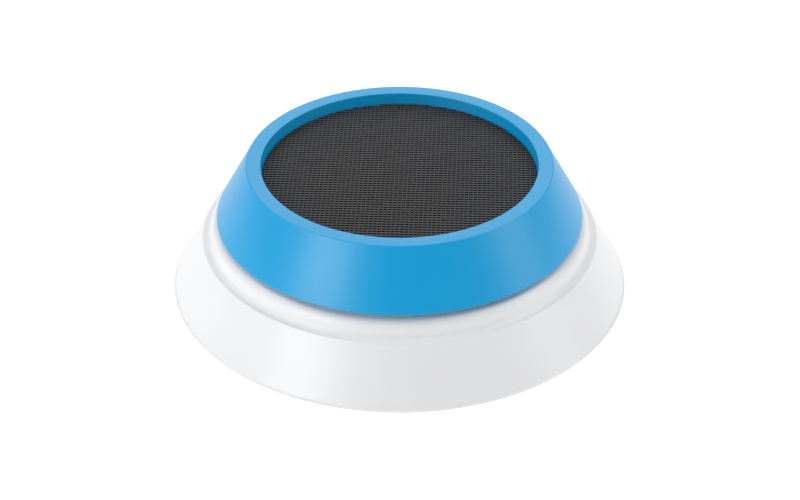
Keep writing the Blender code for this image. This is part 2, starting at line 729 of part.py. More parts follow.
def build_head(head):
    """The blue dish with its skirt, the mat on its floor, and the screws under the mat."""
    cover = turned("head_cover", dish_outline(), BLUE_ABS, BIG)
    head_top = FLOOR_TOP - GAP
    for number, angle in enumerate(PLATFORM_SCREW_ANGLES, 1):
        recess = turned(
            f"dish_screw_recess_{number}",
            [
                (0, FLOOR_TOP + MM),
                (3.1 * MM, FLOOR_TOP + MM),
                (3.1 * MM, FLOOR_TOP - 1.7 * MM),
                (1.8 * MM, FLOOR_TOP - 1.7 * MM),
                (1.8 * MM, FLOOR_BOTTOM - MM),
                (0, FLOOR_BOTTOM - MM),
            ],
            STEEL,
            TINY,
        )
        recess.location = around(PLATFORM_SCREW_CIRCLE, angle)
        recess.location += HEAD_AXIS
        cut(cover, recess)
    hang(cover, head, HEAD_AXIS)
    mat_low = FLOOR_TOP + GAP
    radius = DISH_RADIUS - DISH_DEPTH_TAPER - GAP
    outline = [
        (0, MAT_LEVEL),
        (radius - 0.3 * MM, MAT_LEVEL),
        (radius, MAT_LEVEL - 0.3 * MM),
        (radius, mat_low),
        (0, mat_low),
    ]
    hang(turned("rubber_mat", outline, BLACK_RUBBER, BIG), head, HEAD_AXIS)
    for number, angle in enumerate(PLATFORM_SCREW_ANGLES, 1):
        outline = [
            (0, head_top),
            (2.2 * MM, head_top),
            (2.8 * MM, head_top - 0.4 * MM),
            (2.8 * MM, head_top - 1.1 * MM),
            (1.5 * MM, head_top - 1.1 * MM),
            (1.5 * MM, PLATFORM_BOTTOM - 0.5 * MM),
            (0, PLATFORM_BOTTOM - 0.5 * MM),
        ]
        screw = turned(f"platform_screw_{number}", outline, STEEL, TINY)
        hang(screw, head, around(PLATFORM_SCREW_CIRCLE, angle) + HEAD_AXIS)


def build_speed_dial():
    """A round knob on the potentiometer's shaft."""
    height = PANEL_MIDDLE
    body_front = PANEL_FACE - PANEL_WALL - GAP
    body = block(
        "speed_potentiometer",
        (-5.4 * MM, body_front - 6 * MM, height - 5 * MM),
        (5.4 * MM, body_front, height + 5 * MM),
        BLACK_PLASTIC,
    )
    bore = lies_along_y(cylinder("potentiometer_bore", 2.8 * MM, body_front - 4.5 * MM, body_front + MM, BRASS))
    bore.location = (0, 0, height)
    hang(cut(body, bore), None)
    axis = pivot("dial_axis", (0, 0, height))
    shaft = lies_along_y(cylinder("dial_shaft", 2.5 * MM, body_front - 4 * MM, PANEL_FACE + 3.8 * MM, ALUMINIUM))
    hang(shaft, axis, (0, 0, height))
    low = PANEL_FACE + 0.5 * MM
    high = PANEL_FACE + 5.8 * MM
    outline = [
        (0, high),
        (4.5 * MM, high),
        (4.9 * MM, high - 0.5 * MM),
        (5.1 * MM, low + 0.9 * MM),
        (5.2 * MM, low),
        (0, low),
    ]
    knob = lies_along_y(turned("speed_dial", outline, BLACK_PLASTIC, 24))
    socket = lies_along_y(cylinder("dial_socket", 2.8 * MM, low - MM, PANEL_FACE + 4.1 * MM, BRASS))
    socket.location = (0, 0, height)
    cut(knob, socket)
    mark = block(
        "dial_notch",
        (-0.4 * MM, high - 0.5 * MM, height + 1.5 * MM),
        (0.4 * MM, high + MM, height + 7 * MM),
        BLACK_PLASTIC,
    )
    cut(knob, mark)
    hang(knob, axis, (0, 0, height))


def build_rocker_switch():
    """The mains rocker in its snap-in body. It rests tilted to the off side."""
    height = PANEL_MIDDLE
    front = PANEL_FACE + 1.5 * MM
    body = block(
        "rocker_switch_body",
        (ROCKER_X - 6 * MM, PANEL_FACE - 9 * MM, height - 4 * MM),
        (ROCKER_X + 6 * MM, front, height + 4 * MM),
        BLACK_PLASTIC,
    )
    flange = block(
        "rocker_flange",
        (ROCKER_X - 7.2 * MM, PANEL_FACE + GAP, height - 5.1 * MM),
        (ROCKER_X + 7.2 * MM, front, height + 5.1 * MM),
        BLACK_PLASTIC,
    )
    join(body, flange)
    pocket = block(
        "rocker_pocket",
        (ROCKER_X - 5.3 * MM, PANEL_FACE - 5.4 * MM, height - 3.3 * MM),
        (ROCKER_X + 5.3 * MM, front + MM, height + 3.3 * MM),
        BLACK_PLASTIC,
    )
    hang(cut(body, pocket), None)
    place = (ROCKER_X, ROCKER_AXIS_Y, height)
    axis = pivot("rocker_axis", place)
    rocker = block(
        "power_rocker",
        (-4.7 * MM, -2 * MM, -2.9 * MM),
        (4.7 * MM, 3.9 * MM, 2.9 * MM),
        BLACK_PLASTIC,
    )
    dip = cylinder("rocker_dip", 14 * MM, -4 * MM, 4 * MM, BLACK_PLASTIC, BIG)
    dip.location = (0, 16.9 * MM, 0)
    dip.parent = rocker
    cut(rocker, dip)
    rocker.rotation_euler = (0, 0, ROCKER_TILT)
    hang(rocker, axis, place)


def build_inlet():
    """The low-voltage inlet, a barrel with a centre pin."""
    height = PANEL_MIDDLE
    inlet = turned(
        "dc_inlet",
        [
            (0, PANEL_FACE + 1.6 * MM),
            (4.8 * MM, PANEL_FACE + 1.6 * MM),
            (5.2 * MM, PANEL_FACE + 1.2 * MM),
            (5.2 * MM, PANEL_FACE + GAP),
            (4.1 * MM, PANEL_FACE + GAP),
            (4.1 * MM, PANEL_FACE - 9 * MM),
            (0, PANEL_FACE - 9 * MM),
        ],
        BLACK_PLASTIC,
        24,
    )
    lies_along_y(inlet)
    bore = turned(
        "inlet_bore",
        [
            (0, PANEL_FACE + 3 * MM),
            (3 * MM, PANEL_FACE + 3 * MM),
            (3 * MM, PANEL_FACE - 7 * MM),
            (1.3 * MM, PANEL_FACE - 7 * MM),
            (1.3 * MM, PANEL_FACE - 8.3 * MM),
            (0, PANEL_FACE - 8.3 * MM),
        ],
        BRASS,
        24,
    )
    lies_along_y(bore)
    bore.location = (INLET_X, 0, height)
    cut(inlet, bore)
    hang(inlet, None, (INLET_X, 0, height))
    pin = lies_along_y(cylinder("dc_inlet_pin", 1 * MM, PANEL_FACE - 8 * MM, PANEL_FACE - MM, BRASS, TINY))
    hang(pin, None, (INLET_X, 0, height))


def main():
    global parts, cutters
    clear_scene()
    parts = new_collection("touch_mixer")
    cutters = new_collection("cutters")
    cutters.hide_render = True
    build_base_housing()
    build_base_plate()
    build_feet()
    build_base_screws()
    build_guide_bolts()
    build_press_springs()
    build_electronics()
    carriage = pivot("press_axis", (0, 0, 0))
    build_chassis(carriage)
    build_motor(carriage)
    drive = pivot("drive_axis", (0, 0, 0), carriage)
    build_crank(drive)
    build_idlers(carriage)
    head = pivot("crank_pin_axis", HEAD_AXIS, drive)
    build_platform(head)
    build_head(head)
    build_speed_dial()
    build_rocker_switch()
    build_inlet()


main()
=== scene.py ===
"""The looks of a round touch mixer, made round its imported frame.

A white conical base carries a blue dish-shaped head with a textured rubber mat. Between them stands the drive
that swings the head. Each sub-assembly is a class whose fields are its sizes, and each finish is a frozen
dataclass. Lengths are in metres and +Z is up. The origin is on the floor, on the axis of the base.
"""

import logging
import math
from collections.abc import Callable, Iterator, Sequence
from contextlib import contextmanager
from dataclasses import dataclass, field
from enum import Enum
from typing import Any

import bmesh
import bpy
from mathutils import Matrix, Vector


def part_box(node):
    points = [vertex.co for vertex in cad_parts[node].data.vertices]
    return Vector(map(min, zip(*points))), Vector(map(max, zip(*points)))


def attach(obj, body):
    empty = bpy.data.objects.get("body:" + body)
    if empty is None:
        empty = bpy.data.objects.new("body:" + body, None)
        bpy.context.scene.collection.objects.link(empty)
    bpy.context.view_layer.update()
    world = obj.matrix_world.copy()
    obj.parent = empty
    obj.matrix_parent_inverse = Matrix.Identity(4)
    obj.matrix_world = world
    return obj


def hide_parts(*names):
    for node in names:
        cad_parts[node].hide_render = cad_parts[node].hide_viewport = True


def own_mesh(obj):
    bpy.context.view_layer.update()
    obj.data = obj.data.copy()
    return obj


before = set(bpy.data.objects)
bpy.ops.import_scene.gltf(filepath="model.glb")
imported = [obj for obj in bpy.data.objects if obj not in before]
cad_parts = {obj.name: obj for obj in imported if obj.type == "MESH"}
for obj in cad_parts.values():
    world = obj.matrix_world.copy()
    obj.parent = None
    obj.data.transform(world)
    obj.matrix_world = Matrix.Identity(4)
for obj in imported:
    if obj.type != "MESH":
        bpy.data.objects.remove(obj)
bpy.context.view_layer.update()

log = logging.getLogger("touch_mixer")

MM = 0.001
WELD = 0.002 * MM  # points nearer than this are one
NEAR = 0.01 * MM  # an edge or a face this near a level or a plane lies on it
NEAR_TURN = 0.1  # the same for an angle, in degrees
TAPER = 0.5465  # radius that the base and the head lose for each unit of height
ORIGIN = Vector((0, 0, 0))
UP = Vector((0, 0, 1))
HEAD_SHIFT = Vector((0, -1.5 * MM, 0))  # the head's axis stands this far from the base's axis
GLOSS_SHARE = 0.6  # the size of a patch of gloss, against a patch of colour
WAVES = 3.2  # waves in one unit of length, in a wave pattern of scale 1
MIX_SHARE, MIX_FROM, MIX_TO, MIX_RESULT = 0, 6, 7, 2  # the sockets of a mix of two colours

Corner = tuple[float, float, float]
Point = tuple[float, float]
Piece = bpy.types.Object


# ---------------------------------------------------------------- finishes


class Relief(Enum):
    """The fine pattern that a process leaves on a surface."""

    ERODED = "eroded"  # the spark-eroded grain of a moulding tool
    PEEL = "peel"  # the soft waves of a baked powder coat
    TURNED = "turned"  # the rings of a lathe tool
    DRAWN = "drawn"  # fine lines round a wire or a winding
    CRYSTAL = "crystal"  # the small grains of a plated or sintered surface


@dataclass(frozen=True)
class Finish:
    """How one material looks.

    Args:
        name: The material's common name.
        colour: Its colour, as sRGB hex.
        drift: The colour that it drifts to in soft patches.
        roughness: How matt it is.
        spread: How much the roughness wanders about that value.
        relief: The pattern that its making left.
        pitch: The size of one grain or line of that pattern.
        depth: How deep the pattern is.
        ior: Its index of refraction. A metal keeps the default.
        metallic: One for a bare metal.
        patch: The size of the soft patches of colour and gloss.
        axis: The direction that the rings of a turned surface stand round.
    """

    name: str
    colour: str
    drift: str
    roughness: float
    spread: float
    relief: Relief
    pitch: float
    depth: float
    ior: float = 1.5
    metallic: float = 0.0
    patch: float = 9 * MM
    axis: str = "Z"

    def material(self, centre: Vector = ORIGIN) -> bpy.types.Material:
        """Make the material, or find it if it was made for this place before.

        Args:
            centre: The point that a turned pattern's rings stand round.

        Returns:
            The material.
        """
        place = "_".join(f"{round(value / MM)}" for value in centre) if centre.length else ""
        name = f"{self.name}_{place}" if place else self.name
        known = bpy.data.materials.get(name)
        if known:
            return known
        made = bpy.data.materials.new(name)
        made.use_nodes = True
        tree = made.node_tree
        shader = tree.nodes["Principled BSDF"]
        where = add_node(tree, "ShaderNodeTexCoord").outputs["Object"]
        shift = add_node(tree, "ShaderNodeMapping", {"Vector": where, "Location": -centre}).outputs["Vector"]
        patches = self.noise(tree, shift, self.patch, 3)
        drift = {MIX_SHARE: patches, MIX_FROM: linear(self.colour), MIX_TO: linear(self.drift)}
        colour = add_node(tree, "ShaderNodeMix", drift, data_type="RGBA")
        height = self.pattern(tree, shift)
        low = self.roughness - self.spread
        high = self.roughness + self.spread
        gloss = self.noise(tree, shift, self.patch * GLOSS_SHARE, 5)
        rough = add_node(tree, "ShaderNodeMapRange", {"Value": gloss, "To Min": low, "To Max": high})
        bump = add_node(tree, "ShaderNodeBump", {"Height": height, "Distance": self.depth, "Strength": 1.0})
        tree.links.new(colour.outputs[MIX_RESULT], shader.inputs["Base Color"])
        tree.links.new(rough.outputs["Result"], shader.inputs["Roughness"])
        tree.links.new(bump.outputs["Normal"], shader.inputs["Normal"])
        shader.inputs["IOR"].default_value = self.ior
        shader.inputs["Metallic"].default_value = self.metallic
        return made

    @staticmethod
    def noise(tree: bpy.types.NodeTree, where: bpy.types.NodeSocket, size: float, detail: float) -> Any:
        """Add soft noise whose patches have a real size.

        Args:
            tree: The node tree that takes it.
            where: The place that it is drawn at.
            size: The size of one patch.
            detail: How many finer layers it has.

        Returns:
            The socket of its value, from 0 to 1.
        """
        links = {"Vector": where, "Scale": 1 / size, "Detail": detail, "Roughness": 0.55}
        return add_node(tree, "ShaderNodeTexNoise", links).outputs[0]

    def pattern(self, tree: bpy.types.NodeTree, where: bpy.types.NodeSocket) -> Any:
        """Add the relief's own pattern.

        Args:
            tree: The node tree that takes it.
            where: The place that it is drawn at.

        Returns:
            The socket of its height, from 0 to 1.
        """
        scale = 1 / self.pitch
        if self.relief is Relief.TURNED:
            links = {"Vector": where, "Scale": scale / WAVES, "Distortion": 0.6, "Detail": 2.0}
            settings = {"wave_type": "RINGS", "rings_direction": self.axis}
            return add_node(tree, "ShaderNodeTexWave", links, **settings).outputs["Fac"]
        if self.relief is Relief.DRAWN:
            links = {"Vector": where, "Scale": scale / WAVES, "Distortion": 0.4, "Detail": 1.0}
            settings = {"wave_type": "BANDS", "bands_direction": self.axis}
            return add_node(tree, "ShaderNodeTexWave", links, **settings).outputs["Fac"]
        if self.relief is Relief.CRYSTAL:
            links = {"Vector": where, "Scale": scale}
            return add_node(tree, "ShaderNodeTexVoronoi", links).outputs["Distance"]
        detail = 1.0 if self.relief is Relief.PEEL else 4.0
        return self.noise(tree, where, self.pitch, detail)


@dataclass(frozen=True)
class BoardFinish(Finish):
    """A glass-fibre board under green solder mask, whose copper tracks stand out under the mask.

    Args:
        track: The distance from one track to the next.
    """

    track: float = 1.3 * MM

    def pattern(self, tree: bpy.types.NodeTree, where: bpy.types.NodeSocket) -> Any:
        """Add tracks that run square to each other, raised by the copper under the mask.

        Args:
            tree: The node tree that takes them.
            where: The place that they are drawn at.

        Returns:
            The socket of their height, from 0 to 1.
        """
        links = {"Vector": where, "Scale": 1 / self.track, "Randomness": 0.4}
        cells = add_node(tree, "ShaderNodeTexVoronoi", links, distance="CHEBYCHEV", feature="F1")
        edge = {"Value": cells.outputs["Distance"], "From Min": 0.36, "From Max": 0.42}
        return add_node(tree, "ShaderNodeMapRange", edge).outputs["Result"]


@dataclass(frozen=True)
class ShadePaintedFinish(Finish):
    """A patterned surface whose tops are painted pale, as a painted highlight, and whose hollows are painted
    dark, as painted shade.

    Args:
        hollow: The painted shade colour down in the hollows.
        top: The height of the tops.
        fade: The depth over which the painted shade darkens the colour.
    """

    # painted shade: the near-black colour painted into the pits
    hollow: str = "#0a0a0b"
    top: float = 45.1 * MM
    fade: float = 0.11 * MM

    def material(self, centre: Vector = ORIGIN) -> bpy.types.Material:
        """Make the material, with painted shade that darkens its colour by depth, which leaves the tops as a
        painted highlight.

        Args:
            centre: The point that a turned pattern's rings stand round.

        Returns:
            The material.
        """
        made = super().material(centre)
        tree = made.node_tree
        shader = tree.nodes["Principled BSDF"]
        # painted light: the finish's own colour stays on the tops as a painted highlight, and the hollow
        # colour is mixed in below them as painted shade
        top_colour = shader.inputs["Base Color"].links[0].from_socket
        where = add_node(tree, "ShaderNodeTexCoord").outputs["Object"]
        height = add_node(tree, "ShaderNodeSeparateXYZ", {"Vector": where}).outputs["Z"]
        limits = {"Value": height, "From Min": self.top - self.fade, "From Max": self.top}
        depth = add_node(tree, "ShaderNodeMapRange", limits).outputs["Result"]
        blend = {MIX_SHARE: depth, MIX_FROM: linear(self.hollow), MIX_TO: top_colour}
        mixed = add_node(tree, "ShaderNodeMix", blend, data_type="RGBA")
        tree.links.new(mixed.outputs[MIX_RESULT], shader.inputs["Base Color"])
        return made


def linear(code: str) -> tuple[float, float, float, float]:
    """Turn an sRGB hex colour into the linear colour that a shader reads.

    Args:
        code: A hash sign and six hex digits.

    Returns:
        Red, green, blue and an alpha of one.
    """
    channels = [int(code[start : start + 2], 16) / 255 for start in (1, 3, 5)]
    curved = [c / 12.92 if c <= 0.04045 else ((c + 0.055) / 1.055) ** 2.4 for c in channels]
    return (curved[0], curved[1], curved[2], 1.0)


def add_node(
    tree: bpy.types.NodeTree, kind: str, links: dict[Any, Any] | None = None, **settings: Any
) -> bpy.types.Node:
    """Add one node with its settings and its inputs.

    Args:
        tree: The node tree that takes it.
        kind: The node's type.
        links: For each input, by name or number, the socket that feeds it or the value that it holds.
        settings: The node's own properties.

    Returns:
        The new node.
    """
    node = tree.nodes.new(kind)
    for name, value in settings.items():
        setattr(node, name, value)
    for entry, source in (links or {}).items():
        if isinstance(source, bpy.types.NodeSocket):
            tree.links.new(source, node.inputs[entry])
        else:
            node.inputs[entry].default_value = source
    return node


# Eroded grain, plated crystals and lathe rings are really 0.05 to 0.2 mm apart, which would not show. They are
# drawn two or more times as coarse as that.

# White ABS, injection moulded in a finely eroded tool: a clean satin that holds a soft highlight.
WHITE_ABS = Finish(
    "white_abs_plastic", "#eff0f1", "#ebebed", 0.34, 0.03,
    Relief.ERODED, 0.30 * MM, 0.004 * MM, 1.54, patch=22 * MM,
)
# Sky-blue ABS from the same kind of tool: saturated, with a pale sheen where it turns to the light.
BLUE_ABS = Finish(
    "blue_abs_plastic", "#00a3de", "#009ed9", 0.36, 0.03,
    Relief.ERODED, 0.30 * MM, 0.005 * MM, 1.54, patch=22 * MM,
)
# Nitrile rubber, moulded: dark grey and matt, with its tops painted paler as a painted highlight and its pits
# painted nearly black as painted shade.
# Its index is under the polymer's own 1.52, because its grain traps most of the gloss.
MAT_RUBBER = ShadePaintedFinish(
    "nitrile_rubber", "#4c4c4e", "#444446", 0.56, 0.06,
    Relief.ERODED, 0.22 * MM, 0.008 * MM, 1.36,
)
# Softer rubber for the feet: nearly black and chalky.
FOOT_RUBBER = Finish(
    "polyurethane_rubber", "#232324", "#2c2c2c", 0.78, 0.06,
    Relief.ERODED, 0.35 * MM, 0.015 * MM, 1.52,
)
# Black ABS with a deeper grain than the casing, for the knob, the switch and the inlet.
BLACK_ABS = Finish(
    "black_abs_plastic", "#1d1d1f", "#242427", 0.42, 0.05,
    Relief.ERODED, 0.28 * MM, 0.008 * MM, 1.54,
)
# White marking paint, laid on by pad: flat and slightly uneven.
MARK_PAINT = Finish(
    "marking_paint", "#e9e9e6", "#dcdcd8", 0.55, 0.05,
    Relief.PEEL, 0.4 * MM, 0.003 * MM, 1.5,
)
# Steel plate under grey powder coat: semi-matt, with an orange-peel surface.
POWDER_COAT = Finish(
    "powder_coated_steel", "#55585b", "#4d5053", 0.48, 0.05,
    Relief.PEEL, 0.9 * MM, 0.02 * MM, 1.5,
)
# Zinc-plated steel: cool and bright, with faint crystal flecks and uneven gloss.
ZINC = Finish(
    "zinc_plated_steel", "#c4c8cc", "#aeb4ba", 0.28, 0.08,
    Relief.CRYSTAL, 0.4 * MM, 0.004 * MM, metallic=1.0,
)
# Hard-drawn spring wire, oiled: darker steel with fine lines round the wire.
SPRING_WIRE = Finish(
    "spring_wire", "#8d8f92", "#77797c", 0.30, 0.07,
    Relief.DRAWN, 0.25 * MM, 0.004 * MM, metallic=1.0,
)
# Ground and turned steel: bright, with the rings of the tool.
TURNED_STEEL = Finish(
    "turned_steel", "#b9bbbe", "#a6a8ab", 0.24, 0.06,
    Relief.TURNED, 0.5 * MM, 0.006 * MM, metallic=1.0,
)
# Cast aluminium, faced on a lathe: pale and soft, with rings a feed apart.
TURNED_ALUMINIUM = Finish(
    "turned_aluminium", "#d3d5d8", "#c3c5c9", 0.34, 0.06,
    Relief.TURNED, 0.6 * MM, 0.008 * MM, metallic=1.0,
)
# Turned brass: warm, a little tarnished in patches.
BRASS = Finish(
    "turned_brass", "#d9b565", "#b8914a", 0.26, 0.07,
    Relief.TURNED, 0.5 * MM, 0.006 * MM, metallic=1.0,
)
# Enamelled copper wire, wound: reddish, glossy lacquer over lines a wire apart.
COPPER = Finish(
    "enamelled_copper", "#b5623a", "#96482a", 0.30, 0.06,
    Relief.DRAWN, 0.4 * MM, 0.06 * MM, metallic=0.9,
)
# Sintered ferrite: charcoal and grainy, with dull sparks.
FERRITE = Finish(
    "sintered_ferrite", "#3a3a3d", "#2e2e31", 0.55, 0.08,
    Relief.CRYSTAL, 0.3 * MM, 0.01 * MM, 1.9,
)
# Natural nylon: milky and waxy.
NYLON = Finish("natural_nylon", "#e6e2d4", "#dcd6c5", 0.42, 0.05, Relief.ERODED, 0.3 * MM, 0.005 * MM, 1.53)
# Glass-fibre board: glossy green mask over copper tracks.
BOARD = BoardFinish(
    "glass_fibre_board", "#1d6b3c", "#185c33", 0.32, 0.05,
    Relief.ERODED, 1.3 * MM, 0.03 * MM, 1.55,
)
# Matt black epoxy of chips and of the small switch.
EPOXY = Finish("moulded_epoxy", "#202022", "#29292b", 0.6, 0.06, Relief.ERODED, 0.2 * MM, 0.008 * MM, 1.55)


# ---------------------------------------------------------------- workshop


class Element(Enum):
    """What a selection is made of."""

    VERT = "VERT"
    EDGE = "EDGE"
    FACE = "FACE"


def work_on(piece: Piece) -> None:
    """Select one object alone and make it the active one.

    Args:
        piece: The object.
    """
    bpy.ops.object.select_all(action="DESELECT")
    piece.select_set(True)
    bpy.context.view_layer.objects.active = piece


@contextmanager
def editing(piece: Piece) -> Iterator[None]:
    """Hold a piece in edit mode, with all of it selected at the start.

    Args:
        piece: The object.

    Returns:
        A context that ends in object mode.
    """
    work_on(piece)
    bpy.ops.object.mode_set(mode="EDIT")
    bpy.ops.mesh.select_mode(type="VERT")
    bpy.ops.mesh.select_all(action="SELECT")
    yield
    bpy.ops.object.mode_set(mode="OBJECT")


def pick(piece: Piece, element: Element, test: Callable[[Vector, Vector], bool]) -> None:
    """Select part of the mesh in edit mode, by where it is.

    Args:
        piece: The object in edit mode.
        element: Whether vertices, edges or faces are selected.
        test: Takes a vertex's place twice, an edge's two ends, or a face's centre and normal.
    """
    bpy.ops.mesh.select_mode(type=element.value)
    bpy.ops.mesh.select_all(action="DESELECT")
    mesh = bmesh.from_edit_mesh(piece.data)
    if element is Element.VERT:
        for vert in mesh.verts:
            vert.select_set(test(vert.co, vert.co))
    elif element is Element.EDGE:
        for edge in mesh.edges:
            edge.select_set(test(edge.verts[0].co, edge.verts[1].co))
    else:
        for face in mesh.faces:
            face.select_set(test(face.calc_center_median(), face.normal))
    mesh.select_flush_mode()
    bmesh.update_edit_mesh(piece.data)


def angle_of(place: Vector) -> float:
    """The angle of a place round the axis, in degrees from +X."""
    return math.degrees(math.atan2(place.y, place.x))


def around(radius: float, degrees: float, height: float = 0.0) -> Vector:
    """A point at this radius and angle from the axis."""
    turn = math.radians(degrees)
    return Vector((radius * math.cos(turn), radius * math.sin(turn), height))


def arc(centre: Point, radius: float, start: float, end: float, steps: int) -> list[Corner]:
    """Points on an arc of an outline, as corners that need no rounding of their own.

    Args:
        centre: The arc's centre, as radius and height.
        radius: The arc's own radius.
        start: Its first angle, in degrees from the outward direction.
        end: Its last angle.
        steps: How many stretches it has.

    Returns:
        The corners.
    """
    corners: list[Corner] = []
    for step in range(steps + 1):
        turn = math.radians(start + (end - start) * step / steps)
        corners.append((centre[0] + radius * math.cos(turn), centre[1] + radius * math.sin(turn), 0.0))
    return corners


def rounded(corners: Sequence[Corner], steps: int = 4) -> list[Point]:
    """Round the corners of an outline.

    Args:
        corners: For each corner its radius and height, and the radius that rounds it.
        steps: How many stretches a rounded corner has.

    Returns:
        The outline's points.
    """
    points: list[Point] = []
    for index, (radius, height, fillet) in enumerate(corners):
        here = Vector((radius, height))
        if not fillet:
            points.append((radius, height))
            continue
        back = (Vector(corners[index - 1][:2]) - here).normalized()
        ahead = (Vector(corners[(index + 1) % len(corners)][:2]) - here).normalized()
        half = back.angle(ahead) / 2
        reach = fillet / math.tan(half)
        centre = here + (back + ahead).normalized() * fillet / math.sin(half)
        first = here + back * reach - centre
        last = here + ahead * reach - centre
        for step in range(steps + 1):
            spoke = first.lerp(last, step / steps).normalized() * fillet
            points.append((centre.x + spoke.x, centre.y + spoke.y))
    return points


def turned(name: str, corners: Sequence[Corner], segments: int = 96, steps: int = 4) -> Piece:
    """Spin an outline round the Z axis into a closed body.

    The outline is drawn by pulling one vertex from corner to corner. One that starts and ends on the axis
    is left open there, and any other is closed into a ring.

    Args:
        name: The piece's name.
        corners: The outline's corners, as radius, height and rounding.
        segments: How many facets a turn has.
        steps: How many stretches a rounded corner has.

    Returns:
        The piece.
    """
    points = rounded(corners, steps)
    if points[0][0] > 0:
        points.append(points[0])
    bpy.ops.object.select_all(action="DESELECT")
    bpy.ops.mesh.primitive_plane_add(size=MM)
    piece = bpy.context.object
    piece.name = name
    piece.data.name = name
    with editing(piece):
        bpy.ops.mesh.merge(type="CENTER")
        bpy.ops.transform.translate(value=(points[0][0], 0, points[0][1]))
        for start, end in zip(points, points[1:]):
            step = (end[0] - start[0], 0, end[1] - start[1])
            bpy.ops.mesh.extrude_region_move(TRANSFORM_OT_translate={"value": step})
        bpy.ops.mesh.select_all(action="SELECT")
        bpy.ops.mesh.remove_doubles(threshold=WELD)
        bpy.ops.mesh.spin(steps=segments, angle=math.tau, center=ORIGIN, axis=UP, use_auto_merge=True)
        tidy()
    return piece


def tidy() -> None:
    """Close seams and poles of the mesh in edit mode, and turn its faces outwards."""
    bpy.ops.mesh.select_all(action="SELECT")
    bpy.ops.mesh.remove_doubles(threshold=WELD)
    bpy.ops.mesh.normals_make_consistent(inside=False)


def block(
    name: str, low: Sequence[float], high: Sequence[float], bevel: float = 0.0, steps: int = 3
) -> Piece:
    """Make a box between two corners.

    Args:
        name: The piece's name.
        low: Its lowest corner.
        high: Its highest corner.
        bevel: The width of its rounded edges.
        steps: How many stretches a rounded edge has.

    Returns:
        The piece.
    """
    low_corner = Vector(low)
    high_corner = Vector(high)
    bpy.ops.object.select_all(action="DESELECT")
    bpy.ops.mesh.primitive_cube_add(size=1, location=(low_corner + high_corner) / 2)
    piece = bpy.context.object
    piece.name = name
    piece.data.name = name
    piece.scale = high_corner - low_corner
    set_down(piece)
    if bevel:
        apply_modifier(piece, "BEVEL", width=bevel, segments=steps, limit_method="NONE")
    return piece


def rod(
    name: str, radius: float, low: float, high: float, bevel: float = 0.0, segments: int = 32
) -> Piece:
    """An upright round bar, with its ends rounded."""
    corners = [(0.0, high, 0.0), (radius, high, bevel), (radius, low, bevel), (0.0, low, 0.0)]
    return turned(name, corners, segments, 3)


def set_down(piece: Piece) -> Piece:
    """Put a piece's place, turn and scale into its mesh.

    Args:
        piece: The object.

    Returns:
        The same object.
    """
    work_on(piece)
    bpy.ops.object.transform_apply(location=True, rotation=True, scale=True)
    return piece


def moved(piece: Piece, by: Sequence[float], turn: Sequence[float] = (0, 0, 0)) -> Piece:
    """Turn a piece round the origin and then move it, in its mesh.

    Args:
        piece: The object.
        by: How far it moves.
        turn: Its turn about each axis, in degrees.

    Returns:
        The same object.
    """
    piece.rotation_euler = [math.radians(value) for value in turn]
    piece.location = by
    return set_down(piece)


def faced_back(piece: Piece, at: Sequence[float]) -> Piece:
    """Turn an upright piece so that its top faces the rear, and move it there."""
    return moved(piece, at, (-90, 0, 0))


def copied(piece: Piece, name: str, by: Sequence[float], turn: Sequence[float] = (0, 0, 0)) -> Piece:
    """Copy a piece with a mesh of its own.

    Args:
        piece: The object that is copied.
        name: The copy's name.
        by: How far the copy moves.
        turn: Its turn about each axis, in degrees.

    Returns:
        The copy.
    """
    mesh = piece.data.copy()
    mesh.name = name
    twin = bpy.data.objects.new(name, mesh)
    bpy.context.scene.collection.objects.link(twin)
    return moved(twin, by, turn)


def joined(pieces: Sequence[Piece]) -> Piece:
    """Make one object of several.

    Args:
        pieces: The objects, of which the first keeps its name.

    Returns:
        The first one, which now holds them all.
    """
    bpy.ops.object.select_all(action="DESELECT")
    for piece in pieces:
        piece.select_set(True)
    bpy.context.view_layer.objects.active = pieces[0]
    if len(pieces) > 1:
        bpy.ops.object.join()
    return pieces[0]


def apply_modifier(piece: Piece, kind: str, **settings: Any) -> Piece:
    """Add a modifier and apply it.

    Args:
        piece: The object.
        kind: The modifier's type.
        settings: Its properties.

    Returns:
        The same object.
    """
    work_on(piece)
    modifier = piece.modifiers.new(kind.title(), kind)
    for name, value in settings.items():
        setattr(modifier, name, value)
    bpy.ops.object.modifier_apply(modifier=modifier.name)
    return piece


def combine(piece: Piece, others: Sequence[Piece], operation: str, solver: str = "EXACT") -> Piece:
    """Cut others from a piece, or add them to it, and clear them away.

    Args:
        piece: The object that is changed.
        others: The objects that change it.
        operation: The Boolean operation.
        solver: The Boolean solver.

    Returns:
        The changed object.
    """
    tool = joined(others)
    apply_modifier(piece, "BOOLEAN", operation=operation, solver=solver, object=tool)
    bpy.data.objects.remove(tool, do_unlink=True)
    with editing(piece):
        bpy.ops.mesh.remove_doubles(threshold=WELD)
    return piece


def cut(piece: Piece, *others: Piece) -> Piece:
    """Cut others out of a piece."""
    return combine(piece, others, "DIFFERENCE")


def weld(piece: Piece, *others: Piece) -> Piece:
    """Add others to a piece, as one body."""
    return combine(piece, others, "UNION")


@dataclass(frozen=True)
class Cone:
    """The outer wall of the base or of the head."""

    radius: float
    level: float

    def at(self, level: float) -> float:
        """The wall's radius at a height."""
        return self.radius - TAPER * (level - self.level)


BASE_CONE = Cone(79.76 * MM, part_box("base_housing")[0].z)
HEAD_CONE = Cone(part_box("head_cover")[1].x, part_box("head_cover")[0].z)


